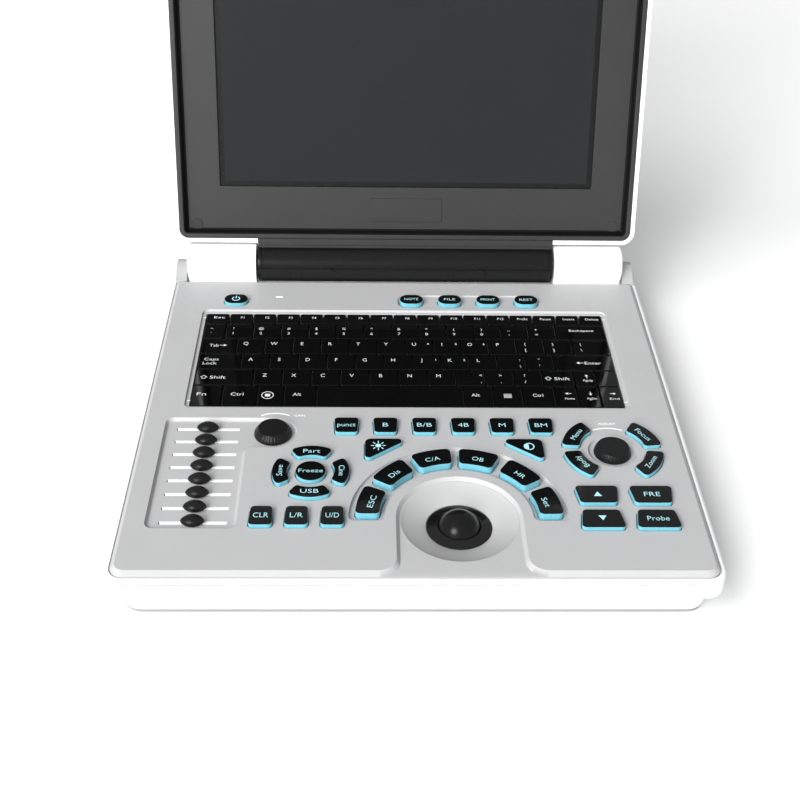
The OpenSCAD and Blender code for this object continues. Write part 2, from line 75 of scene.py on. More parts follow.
def on_deck(x, y, z):
    return Vector((x * MM, FRONT + y * MM, DECK + z * MM))


def on_lid(x, up, out):
    return HINGE + MM * Vector((x, up * sin(LEAN) - out * cos(LEAN), up * cos(LEAN) + out * sin(LEAN)))


def along_x(y, z, x):
    """For shapes drawn from the side and drawn out along X, about the hinge axis."""
    return HINGE + MM * Vector((x, y, z))


Box = namedtuple("Box", "x0 x1 y0 y1 z0 z1")


def deck_box(node):
    """The node's box at rest in deck millimetres."""
    lo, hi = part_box(node)
    return Box(lo.x / MM, hi.x / MM, (lo.y - FRONT) / MM, (hi.y - FRONT) / MM,
               (lo.z - DECK) / MM, (hi.z - DECK) / MM)


def centre(node):
    box = deck_box(node)
    return (box.x0 + box.x1) / 2, (box.y0 + box.y1) / 2


# ---- Outlines: each returns a function of grow that gives a counter-clockwise loop ----

def arc(x, y, r, start, stop, steps):
    turns = [radians(start + (stop - start) * i / steps) for i in range(steps + 1)]
    return [(x + r * cos(t), y + r * sin(t)) for t in turns]


def turn_at(corners, i):
    """The way an outline comes in to a corner, how far it turns there and which way it faces."""
    (px, py, _), (x, y, _), (nx, ny, _) = corners[i - 1], corners[i], corners[(i + 1) % len(corners)]
    a, b = atan2(y - py, x - px), atan2(ny - y, nx - x)
    turn = (b - a + pi) % (2 * pi) - pi
    return a, turn, 1 if turn >= 0 else -1, a - pi / 2 + turn / 2


def rounded(corners, fine=1.0):
    """A polygon of (x, y, radius) corners. A corner with no radius stays one point."""
    def outline(grow=0.0):
        loop = []
        for i, (x, y, r) in enumerate(corners):
            a, turn, side, middle = turn_at(corners, i)
            reach = side * r / cos(turn / 2)
            cx, cy = x - reach * cos(middle), y - reach * sin(middle)
            radius = r + side * grow
            if r == 0:
                reach = side * radius / cos(turn / 2)
                loop.append((cx + reach * cos(middle), cy + reach * sin(middle)))
                continue
            radius = radius if radius > 0 else 1e-4
            steps = max(3, int(fine * abs(degrees(turn)) * sqrt(r) / 18) + 1)
            start = degrees(a) - 90
            loop += arc(cx, cy, side * radius, start, start + degrees(turn), steps)
        return loop
    return outline


def counted(corners, counts):
    """A rounded polygon whose corners have a set number of steps, so that loops match."""
    loop = []
    for i, ((x, y, r), count) in enumerate(zip(corners, counts)):
        a, turn, side, middle = turn_at(corners, i)
        reach, start = side * r / cos(turn / 2), degrees(a) - 90
        loop += arc(x - reach * cos(middle), y - reach * sin(middle), side * r, start,
                    start + degrees(turn), count) if count else [(x, y)]
    return loop


def rect(x0, x1, y0, y1, r, fine=1.0):
    return rounded([(x0, y0, r), (x1, y0, r), (x1, y1, r), (x0, y1, r)], fine)


def circle(x, y, r, steps=64):
    return lambda grow=0.0: arc(x, y, r + grow, 0, 360, steps)[:-1]


def sector(x, y, r_in, r_out, angle, half, r):
    """A piece of a ring with rounded corners."""
    def outline(grow=0.0):
        far, near = r_out - r, r_in + r
        a_far = half - degrees(asin(r / far))
        a_near = half - degrees(asin(r / near))

        def corner(dist, at, start, stop):
            t = radians(angle + at)
            return arc(x + dist * cos(t), y + dist * sin(t), r + grow, angle + start, angle + stop, 7)
        return (arc(x, y, r_out + grow, angle - a_far, angle + a_far, 14)
                + corner(far, a_far, a_far, half + 90)[1:]
                + corner(near, a_near, half + 90, a_near + 180)
                + arc(x, y, r_in - grow, angle + a_near, angle - a_near, 12)[1:-1]
                + corner(near, -a_near, 180 - a_near, 270 - half)
                + corner(far, -a_far, 270 - half, 360 - a_far)[:-1])
    return outline


def slab(x, y, rear, front, depth, r):
    return rounded([(x - front / 2, y - depth / 2, r), (x + front / 2, y - depth / 2, r),
                    (x + rear / 2, y + depth / 2, r), (x - rear / 2, y + depth / 2, r)], 1.3)


def oval(x, y):
    return rect(x - 8.4, x + 8.4, y - 6, y + 6, 5.99, 1.3)


# ---- Edge profiles: lists of (grow, height) ----

def _quarter(steps):
    return [radians(90 * i / steps) for i in range(steps + 1)]


def crown(grow, z, r, drop, steps):
    """From an outer wall up on to a flat top at z."""
    return [(grow - r + r * cos(t), z - drop + drop * sin(t)) for t in _quarter(steps)]


def base(grow, z, r, rise=None, steps=4):
    """From a flat underside at z out on to a wall."""
    rise = r if rise is None else rise
    return [(grow - r + r * sin(t), z + rise - rise * cos(t)) for t in _quarter(steps)]


def lip(grow, z, r):
    """From a flat top at z down into a hole."""
    return [(grow + r - r * sin(t), z - r + r * cos(t)) for t in _quarter(3)]


def cove(z, r):
    """From a hole's wall on to its floor at z."""
    return [(-r + r * cos(t), z + r - r * sin(t)) for t in _quarter(3)]


# ---- Solids ----

def convex(points):
    trios = zip(points, points[1:] + points[:1], points[2:] + points[:2])
    turns = [(b[0] - a[0]) * (c[1] - b[1]) - (b[1] - a[1]) * (c[0] - b[0]) for a, b, c in trios]
    return all(t > -1e-7 for t in turns) or all(t < 1e-7 for t in turns)


class Solid:
    """The points and faces of one piece, in millimetres until it is made."""

    def __init__(self, place=on_deck):
        self.place, self.points, self.faces = place, [], []

    def loop(self, outline, z):
        start = len(self.points)
        self.points += [(x, y, z) for x, y in outline]
        return list(range(start, len(self.points)))

    def band(self, low, high):
        n = len(low)
        self.faces += [(low[i], low[(i + 1) % n], high[(i + 1) % n], high[i]) for i in range(n)]

    def bands(self, loops):
        for low, high in zip(loops, loops[1:]):
            self.band(low, high)
        return loops

    def plate(self, edge, holes=(), up=True):
        """A flat face inside edge, less its holes."""
        if not holes and convex([self.points[i] for i in edge]):
            self.faces.append(tuple(edge if up else reversed(edge)))
            return
        loops = [edge, *holes]
        flat = [i for loop in loops for i in loop]
        outlines = [[Vector((*self.points[i][:2], 0)) for i in loop] for loop in loops]
        for tri in tessellate_polygon(outlines):
            a, b, c = (flat[k] for k in tri)
            (ax, ay, _), (bx, by, _), (cx, cy, _) = (self.points[i] for i in (a, b, c))
            turn = (bx - ax) * (cy - ay) - (by - ay) * (cx - ax)
            if abs(turn) > 1e-9:
                self.faces.append((a, b, c) if (turn > 0) == up else (a, c, b))

    def close(self, loops):
        """A closed form through loops, from bottom to top."""
        self.bands(loops)
        self.plate(loops[0], up=False)
        self.plate(loops[-1])

    def stack(self, outline, profile):
        """A closed form whose outline grows by the profile's steps from bottom to top."""
        self.close([self.loop(outline(grow), z) for grow, z in profile])

    def well(self, outline, profile):
        """The wall of a hole, from its mouth down."""
        return self.bands([self.loop(outline(grow), z) for grow, z in profile])

    def turned(self, x, y, profile, steps=64):
        """A closed turned form: (radius, height) from the bottom up."""
        self.stack(circle(x, y, 0, steps), profile)

    def add(self, points, faces):
        start = len(self.points)
        self.points += points
        self.faces += [tuple(start + i for i in face) for face in faces]

    def make(self, name, material, body="console", slot=None, replaces=(), sharp=32):
        """The finished piece, smooth but for edges sharper than the given angle."""
        bm = bmesh.new()
        verts = [bm.verts.new(self.place(*p)) for p in self.points]
        for face in self.faces:
            try:
                bm.faces.new([verts[i] for i in face])
            except ValueError:
                pass
        bmesh.ops.remove_doubles(bm, verts=bm.verts, dist=2e-6)
        bmesh.ops.dissolve_degenerate(bm, edges=bm.edges, dist=1e-7)
        mesh = bpy.data.meshes.new(name)
        bm.to_mesh(mesh)
        bm.free()
        mesh.polygons.foreach_set("use_smooth", [True] * len(mesh.polygons))
        mesh.set_sharp_from_angle(angle=radians(sharp))
        mesh.materials.append(material)
        obj = new_object(name, mesh)
        obj.modifiers.new("Even shading", "WEIGHTED_NORMAL").keep_sharp = True
        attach(obj, body)
        if replaces:
            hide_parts(*replaces)
        return obj


def cut(obj, *cutters):
    """Takes closed cutters, given as Solids, out of obj for good."""
    obj.modifiers.clear()
    tools = []
    for solid in cutters:
        mesh = bpy.data.meshes.new("cutter")
        mesh.from_pydata([solid.place(*p) for p in solid.points], [], solid.faces)
        tools.append(new_object("cutter", mesh))
        step = obj.modifiers.new("cut", "BOOLEAN")
        step.operation, step.object, step.solver = "DIFFERENCE", tools[-1], "EXACT"
    bpy.context.view_layer.update()
    result = bpy.data.meshes.new_from_object(obj.evaluated_get(bpy.context.evaluated_depsgraph_get()))
    obj.modifiers.clear()
    result.set_sharp_from_angle(angle=radians(32))
    old, obj.data = obj.data, result
    result.name = obj.name
    bpy.data.meshes.remove(old)
    for tool in tools:
        bpy.data.meshes.remove(tool.data)
    obj.modifiers.new("Even shading", "WEIGHTED_NORMAL").keep_sharp = True


# ---- Lettering: thin raised print ----

CAP_HEIGHT = 0.729
INK = 0.04


@cache
def text_shape(text):
    """Flat points and faces of a word at size 1, one unit deep, and its left and right ends."""
    curve = bpy.data.curves.new("word", "FONT")
    curve.body, curve.align_x, curve.resolution_u, curve.extrude = text, "CENTER", 3, 0.5
    curve.offset = -0.007
    word = new_object("word", curve)
    bpy.context.view_layer.update()
    mesh = bpy.data.meshes.new_from_object(word.evaluated_get(bpy.context.evaluated_depsgraph_get()))
    points = [tuple(v.co) for v in mesh.vertices]
    faces = [tuple(p.vertices) for p in mesh.polygons]
    bpy.data.objects.remove(word)
    bpy.data.curves.remove(curve)
    bpy.data.meshes.remove(mesh)
    return points, faces, min(p[0] for p in points), max(p[0] for p in points)


def letters(solid, text, x, y, height, width=None, angle=0.0, z=0.0, stretch=1.12):
    """Prints text centred on x, y with capitals of the given height, drawn out to width if it's given."""
    points, faces, left, right = text_shape(text)
    size = height / CAP_HEIGHT
    wide = width / (right - left) if width else size * stretch
    turn = radians(angle)
    middle = (left + right) / 2
    placed = []
    for px, py, pz in points:
        u, v = (px - middle) * wide, (py - CAP_HEIGHT / 2) * size
        placed.append((x + u * cos(turn) - v * sin(turn), y + u * sin(turn) + v * cos(turn),
                       z + INK * (pz + 0.5)))
    solid.add(placed, faces)


def mark(solid, loop, z=0.0):
    """Prints a filled counter-clockwise shape."""
    solid.close([solid.loop(loop, z), solid.loop(loop, z + INK)])


def stroke(solid, points, width, z=0.0):
    """Prints a line of the given width through points."""
    left, right = [], []
    for i, (x, y) in enumerate(points):
        ax, ay = points[max(i - 1, 0)]
        bx, by = points[min(i + 1, len(points) - 1)]
        t = atan2(by - ay, bx - ax)
        left.append((x - sin(t) * width / 2, y + cos(t) * width / 2))
        right.append((x + sin(t) * width / 2, y - cos(t) * width / 2))
    mark(solid, right + left[::-1], z)


# ---- Materials ----

def material(name, color, rough, mottle, mottle_size=30.0, grain=0.0, grain_size=0.35,
             rough_spread=0.06, metallic=0.0, ior=1.5, coat=0.0, translucent=0.0, scratches=0.0):
    """A moulded, painted or brushed finish. grain and scratches are heights in millimetres, the
    other sizes are in millimetres too, and mottle is how far the colour drifts."""
    mat = bpy.data.materials.new(name)
    mat.use_nodes = True
    nodes, links = mat.node_tree.nodes, mat.node_tree.links
    shader = nodes["Principled BSDF"]
    even = {"Metallic": metallic, "IOR": ior, "Coat Weight": coat, "Coat Roughness": 0.08,
            "Subsurface Weight": translucent, "Subsurface Radius": (0.004, 0.006, 0.007),
            "Subsurface Scale": 0.4}
    for socket, value in even.items():
        shader.inputs[socket].default_value = value
    where = nodes.new("ShaderNodeTexCoord")

    def noise(size_mm, detail):
        tex = nodes.new("ShaderNodeTexNoise")
        tex.inputs["Scale"].default_value = 1000 / size_mm
        tex.inputs["Detail"].default_value = detail
        links.new(where.outputs["Object"], tex.inputs["Vector"])
        return tex

    def spread(source, low, high):
        ramp = nodes.new("ShaderNodeMapRange")
        for socket, value in (("From Min", 0.3), ("From Max", 0.7), ("To Min", low), ("To Max", high)):
            ramp.inputs[socket].default_value = value
        links.new(source, ramp.inputs["Value"])
        return ramp.outputs["Result"]

    broad = noise(mottle_size, 3)
    tint = nodes.new("ShaderNodeMix")
    tint.data_type = "RGBA"
    tint.inputs["A"].default_value = (*[c * (1 - mottle) for c in color], 1)
    tint.inputs["B"].default_value = (*[min(1, c * (1 + mottle)) for c in color], 1)
    links.new(spread(broad.outputs["Fac"], 0, 1), tint.inputs["Factor"])
    links.new(tint.outputs["Result"], shader.inputs["Base Color"])
    smear = noise(9, 4)
    links.new(spread(smear.outputs["Fac"], max(0.02, rough - rough_spread), rough + rough_spread),
              shader.inputs["Roughness"])
    if grain or scratches:
        bump = nodes.new("ShaderNodeBump")
        bump.inputs["Distance"].default_value = max(grain, scratches) * MM
        bump.inputs["Strength"].default_value = 1.0
        fine = noise(grain_size if grain else 0.8, 2)
        if scratches:
            stretch = nodes.new("ShaderNodeMapping")
            stretch.inputs["Scale"].default_value = (0.02, 1, 1)
            links.new(where.outputs["Object"], stretch.inputs["Vector"])
            links.new(stretch.outputs["Vector"], fine.inputs["Vector"])
        links.new(fine.outputs["Fac"], bump.inputs["Height"])
        links.new(bump.outputs["Normal"], shader.inputs["Normal"])
    return mat


WHITE = material("white_plastic", (0.68, 0.685, 0.69), 0.38, 0.012, grain=0.010, grain_size=0.5)
GREY = material("grey_plastic", (0.352, 0.352, 0.355), 0.45, 0.015, grain=0.014, grain_size=0.45)
BEZEL = material("bezel_plastic", (0.0195, 0.0195, 0.0198), 0.42, 0.04, grain=0.012, grain_size=0.5,
                 rough_spread=0.03)
BARREL = material("barrel_plastic", (0.004, 0.004, 0.0042), 0.26, 0.04, ior=1.42, grain=0.004,
                  grain_size=0.6, rough_spread=0.02)
KNOB = material("knob_plastic", (0.005, 0.005, 0.0052), 0.36, 0.12, ior=1.4, grain=0.012, grain_size=0.5)
KEYCAP = material("key_gloss", (0.0022, 0.0024, 0.0024), 0.075, 0.2, rough_spread=0.03, ior=1.42)
KEYBED = material("keyboard_gloss", (0.0012, 0.0012, 0.0013), 0.06, 0.2, rough_spread=0.03, ior=1.42)
SKIRT = material("key_shell", (0.115, 0.33, 0.40), 0.30, 0.05, translucent=0.2, grain=0.006)
PRINT = material("key_print", (0.36, 0.64, 0.70), 0.45, 0.05, mottle_size=2)
WHITE_PRINT = material("white_print", (0.62, 0.63, 0.64), 0.5, 0.06, mottle_size=2)
DECK_PRINT = material("deck_print", (0.9, 0.9, 0.9), 0.45, 0.03, mottle_size=3)
SEAT = material("seat_gloss", (0.004, 0.004, 0.0042), 0.14, 0.1, rough_spread=0.04)
BALL = material("ball_gloss", (0.004, 0.004, 0.0041), 0.20, 0.15, rough_spread=0.03, ior=1.36)
SCREEN = material("screen_glass", (0.010, 0.0105, 0.0115), 0.16, 0.02, rough_spread=0.01)
MASK = material("screen_mask", (0.003, 0.003, 0.003), 0.28, 0.1, rough_spread=0.02)
# Pale dust lips in the slider slots; their pale colour is partly painted highlight for the lit slot walls.
LIPS_PAINTED_HIGHLIGHT = material("dust_lip_painted_highlight", (0.75, 0.75, 0.75), 0.6, 0.02)
# Near-black seal in the bezel groove; its near-black colour is painted shade of the groove wall.
GASKET_PAINTED_SHADE = material("painted_shade_gasket", (0.0035, 0.0035, 0.0035), 0.6, 0.1, ior=1.3)
RUBBER = material("rubber", (0.022, 0.022, 0.023), 0.72, 0.12, grain=0.05, grain_size=0.7)
# Dark grey for the band under the tray: painted contact shadow, not a real part.
PAINTED_CONTACT_SHADOW = material("painted_contact_shadow", (0.21, 0.21, 0.21), 0.6, 0.03, grain=0.02)
# The deck's grey plastic made darker for the ear ramps: painted shade, offsetting the stronger light on
# them.
EAR_GREY_PAINTED_SHADE = material("deck_grey_painted_shade", (0.29, 0.29, 0.292), 0.5, 0.015, grain=0.014, grain_size=0.45)
STEEL = material("steel", (0.55, 0.56, 0.58), 0.30, 0.05, metallic=1.0, scratches=0.02)
BOARD = material("circuit_board", (0.012, 0.10, 0.035), 0.35, 0.25, mottle_size=5, grain=0.05)
WRAP = material("battery_wrap", (0.03, 0.045, 0.075), 0.28, 0.10, coat=0.4, grain=0.02, grain_size=3)
PORT = material("port_plastic", (0.016, 0.016, 0.017), 0.45, 0.1, grain=0.02)


# ---- Case ----

CASE_HALF, CASE_FRONT, CASE_REAR = 170.0, -3.5, 334.0
CASE_BOTTOM, RIM_TOP, SHELF = -15.5, -2.2, -10.5
PANEL_HALF, PANEL_REAR, PANEL_UNDER, PANEL_STEP = 166.3, 302.5, -4.5, -2.0
TROUGH_HALF, LEDGE = 159.3, 3.2
EAR_X, EAR_HALF = 163.4, 4.1


def case_loop(grow, inner):
    half, front, rear = CASE_HALF + grow, CASE_FRONT - grow, CASE_REAR + grow
    room, near, far = PANEL_HALF + 0.7 - inner, -0.8 + inner * 1.2, PANEL_REAR + 0.3 - inner
    r, tight = 12 + grow, 8.3 - inner * 0.6
    corners = [(-half, rear, r), (-half, front, r), (half, front, r), (half, rear, r),
               (TROUGH_HALF, rear, 0), (TROUGH_HALF, far, 0), (room, far, 0), (room, near, -tight),
               (-room, near, -tight), (-room, far, 0), (-TROUGH_HALF, far, 0), (-TROUGH_HALF, rear, 0)]
    counts = [12, 12, 12, 12, 0, 0, 0, 8, 8, 0, 0, 0]
    return counted([(x, y, abs(r)) for x, y, r in corners], counts)


def main_case():
    s = Solid()
    steps = [(0, LEDGE, SHELF), (0, LEDGE, -6.0), (0, LEDGE, PANEL_UNDER), (0, 0, PANEL_UNDER)]
    edge = [(g, 0.0, z) for g, z in crown(0, RIM_TOP, 2.4, 3.0, steps=8)]
    s.close([s.loop(case_loop(g, i), z) for g, i, z in steps + edge])
    outer = rect(-CASE_HALF, CASE_HALF, CASE_FRONT, CASE_REAR, 12, 1.1)
    opening = rect(-158.5, 158.5, 8.5, 299.5, 4)
    low = s.well(outer, base(0, CASE_BOTTOM, 2.0, 1.5, 4) + [(0, SHELF)])
    hole = s.well(opening, [(0, SHELF), (0, CASE_BOTTOM)])
    s.plate(low[0], [hole[1]], up=False)
    s.plate(low[-1], [hole[0]])
    s.make("main_case_shell", WHITE, slot="white_shell", replaces=["main_case"])


def ears():
    """The grey ramps outside the hinge drums, seen as part of the deck. They are the deck's plastic made a
    darker grey as painted shade, so that the ramps, lit more than the deck, read no brighter.
    """
    s = Solid(along_x)
    ramp = [(-15.2, -22, 0), (-15.2, -7, 0.6), (-13, -6, 3), (-8, -3.2, 8), (-4, -1.2, 6), (0, -0.1, 4),
            (4, -0.1, 2)]
    back = [(y, z, 0) for y, z in arc(0, -16, 16, 72, 0, 12)] + [(16, -22, 0)]
    profile = rounded([(y, z, r) for y, z, r in reversed(ramp + back)])
    end = [(-0.5, -EAR_HALF), (-0.1, -EAR_HALF + 0.15), (0, -EAR_HALF + 0.5)]
    for side in (-1, 1):
        s.stack(profile, [(g, side * EAR_X + x) for g, x in end + [(g, -x) for g, x in reversed(end)]])
    s.make("hinge_ears", EAR_GREY_PAINTED_SHADE, slot="grey_deck", replaces=["main_case"])


def bottom_case():
    s = Solid()
    x0, x1, y0, y1, z0, _ = deck_box("bottom_case")
    outer = rect(x0, x1, y0, y1, 12, 1.1)
    inner = rect(x0 + 2.4, x1 - 2.4, y0 + 2.4, y1 - 2.4, 9.6, 1.1)
    top = CASE_BOTTOM
    sides = s.well(outer, base(0, z0, 1.6, 1.8, 5) + [(0, top - 0.6), (-0.5, top)])
    hollow = s.well(inner, [(0, top), (0, z0 + 10), (-4, z0 + 3.4), (-6, z0 + 2.4)])
    s.plate(sides[0], up=False)
    s.plate(sides[-1], [hollow[0]])
    s.plate(hollow[-1])
    obj = s.make("bottom_tray", WHITE, slot="white_shell", replaces=["bottom_case"])
    cutters = []
    for x in range(100, 149, 8):
        cutters.append(tile(rect(x, x + 3, 60, 95, 1.4), z0 - 1, z0 + 4))
    for node in ("probe_socket", "rear_ports"):
        for bx0, bx1, bz0, bz1 in openings(node):
            cutters.append(tile(rect(bx0 - 0.2, bx1 + 0.2, y1 - 7, y1 + 1, 0.2), bz0 - 0.2, bz1 + 0.2))
    cut(obj, *cutters)


def tile(outline, z0, z1, place=on_deck):
    s = Solid(place)
    s.stack(outline, [(0, z0), (0, z1)])
    return s


def openings(node):
    """The outer rectangle of each socket of a node, as x0, x1, z0, z1, from its CAD mesh."""
    mesh = NODES[node].data
    spans = []
    for face in mesh.polygons:
        points = [mesh.vertices[i].co for i in face.vertices]
        xs, zs = [p.x / MM for p in points], [(p.z - DECK) / MM for p in points]
        spans.append([min(xs), max(xs), min(zs), max(zs)])
    joined = []
    for x0, x1, z0, z1 in sorted(spans):
        if joined and x0 <= joined[-1][1] + 0.1:
            last = joined[-1]
            last[1], last[2], last[3] = max(last[1], x1), min(last[2], z0), max(last[3], z1)
        else:
            joined.append([x0, x1, z0, z1])
    return joined


def feet():
    s = Solid()
    x0, x1, y0, y1, z0, z1 = deck_box("rubber_feet")
    for x in (x0 + 9, x1 - 9):
        for y in (y0 + 9, y1 - 9):
            s.turned(x, y, [(4.5, z0 + 0.5), (5, z0), *base(8.2, z0, 0.6, 0.6), (8.8, z1 - 0.3),
                            (8.9, z1)], 48)
    s.make("rubber_feet_pads", RUBBER, slot="rubber", replaces=["rubber_feet"])
    x0, x1, y0, y1, tray_z, _ = deck_box("bottom_case")
    # A dark grey band from the tray's lower edge down to the floor: painted contact shadow under the tray.
    strip = Solid()
    rings = strip.well(rect(x0, x1, y0, y1, 12),
                       [(-1.0, tray_z + 0.1), (-1.0, z0 + 0.5), (-1.4, z0 + 0.3), (-5, z0 + 0.3),
                        (-5.4, tray_z + 0.1)])
    strip.band(rings[-1], rings[0])
    strip.make("painted_shadow_strip", PAINTED_CONTACT_SHADOW, slot="rubber", replaces=["rubber_feet"])


# ---- Deck ----

KEY_GAP = 0.4
ROW_DEPTHS = [13.2, 18.2, 18.5, 18, 18, 23]
KEYS_TOP = -1.4
BALL_X, BALL_Y = centre("trackball")
SEAT_R, BALL_GAP = 18.9, 0.15
CHANNEL, CHANNEL_Z = (42.5, 63.2), -2.0
STRIP_Z, RECESS_Z, KNOB_HOLE = -1.0, -2.0, 4
RECESS, GAIN_LOBE = (-152.3, -100.8, 36.6), 14.6
SLIDERS = [f"gain_slider_{n}" for n in range(1, 9)]
MENU_X, MENU_Y = centre("menu_knob")
GAIN_X, GAIN_Y = centre("gain_knob")


def keyboard_rect():
    x0, x1, y0, y1, _, _ = deck_box("keyboard_keys")
    return x0 - 0.4, x1 + 0.4, y0 - 0.4, y1 + 0.4


ARC_NODES = [("escape_key", 166.9), ("distance_key", 135.3), ("circumference_key", 104.9),
             ("obstetrics_key", 75.3), ("heart_rate_key", 44.5), ("set_key", 12.9)]
PAD_NODES = [("body_part_key", 90), ("save_key", 180), ("usb_key", 270), ("cine_key", 0)]
PAD_SHIFT = {"body_part_key": 0.9, "save_key": 0.2, "usb_key": 0.9, "cine_key": 0.2}
RING_NODES = [("menu_key", 147.5), ("focus_key", 32.5), ("body_mark_key", 212.5), ("zoom_key", 327.5)]
SMALL, WIDE_REAR, WIDE_FRONT = (12.6, 13.8, 15.9), (25.7, 21.4, 15.2), (21.4, 25.7, 15.2)
SLABS = {"clear_key": SMALL, "flip_side_key": SMALL, "flip_up_down_key": SMALL, "up_key": WIDE_REAR,
         "frequency_key": WIDE_REAR, "down_key": WIDE_FRONT, "probe_key": WIDE_FRONT}
FLANGE = 0.9
CORNER_LEGS = 27.8, 21
ARC_LEGENDS = {"escape_key": 167.8, "distance_key": 135.9, "circumference_key": 105.5,
               "obstetrics_key": 74.7, "heart_rate_key": 43.0, "set_key": 11.7}


def in_a_row(node, count, half, shape):
    """The even row of like keys, each twice half wide, that one node holds."""
    first, last = deck_box(node).x0 + FLANGE + half, deck_box(node).x1 - FLANGE - half
    return [shape(first + (last - first) * i / (count - 1), centre(node)[1]) for i in range(count)]


def key_outlines():
    """Every shaped key's outlines, by node, and where it sits in the deck."""
    keys = {}
    for node, angle in ARC_NODES:
        keys[node] = [sector(BALL_X, BALL_Y, 45.4, 59.6, angle, 12.4, 3.0)], "channel"
    pad_x, pad_y = centre("freeze_key")
    for node, angle in PAD_NODES:
        shift = PAD_SHIFT[node]
        keys[node] = [sector(pad_x, pad_y, 13.7 + shift, 22.8 + shift, angle, 33, 2.6)], "deck"
    keys["freeze_key"] = [circle(pad_x, pad_y, 9)], "deck"
    for node, angle in RING_NODES:
        keys[node] = [sector(MENU_X, MENU_Y, 19.8, 30.7, angle, 26.5, 2.4)], "deck"
    for node, (rear, front, depth) in SLABS.items():
        keys[node] = [slab(*centre(node), rear, front, depth, 2.6)], "deck"
    modes = in_a_row("mode_keys", 6, 7.8, lambda x, y: slab(x, y, 15.6, 13.8, 14.8, 2.4))
    keys["mode_keys"] = modes, "deck"
    keys["function_keys"] = in_a_row("function_keys", 4, 8.4, oval), "strip"
    keys["power_key"] = [oval(*centre("power_key"))], "deck"
    along, down = CORNER_LEGS
    x, y = deck_box("brightness_key").x0 + FLANGE, deck_box("brightness_key").y1 - FLANGE
    keys["brightness_key"] = [rounded([(x, y, 4), (x, y - down, 2.6), (x + along, y, 2.6)], 1.3)], "deck"
    x, y = deck_box("contrast_key").x1 - FLANGE, deck_box("contrast_key").y1 - FLANGE
    keys["contrast_key"] = [rounded([(x, y, 4), (x - along, y, 2.6), (x, y - down, 2.6)], 1.3)], "deck"
    return keys


KEYS = key_outlines()


DECK_STEPS = [8, 12, 28, 28, 12, 8, 4, 4]


def deck_edge(t):
    """The flat deck's outline, from the seam (t = 0) to the deck top (t = 1), with the tongue's
    notch at the front, the part of the loop that bounds the tongue."""
    half, front, rear = PANEL_HALF - 2.4 * t, 3.4 * t, PANEL_REAR - 2.0 * t
    notch, flare, r = 34.2 + 2.1 * t, 12 - 1.6 * t, 8 - 2.2 * t
    tight = 1.4 - 0.9 * t
    left, right = BALL_X - notch, BALL_X + notch
    corners = [(-half, front, r), (left, front, flare), (left, BALL_Y + notch, notch),
               (right, BALL_Y + notch, notch), (right, front, flare), (half, front, r),
               (half, rear, tight), (-half, rear, tight)]
    return counted(corners, DECK_STEPS)


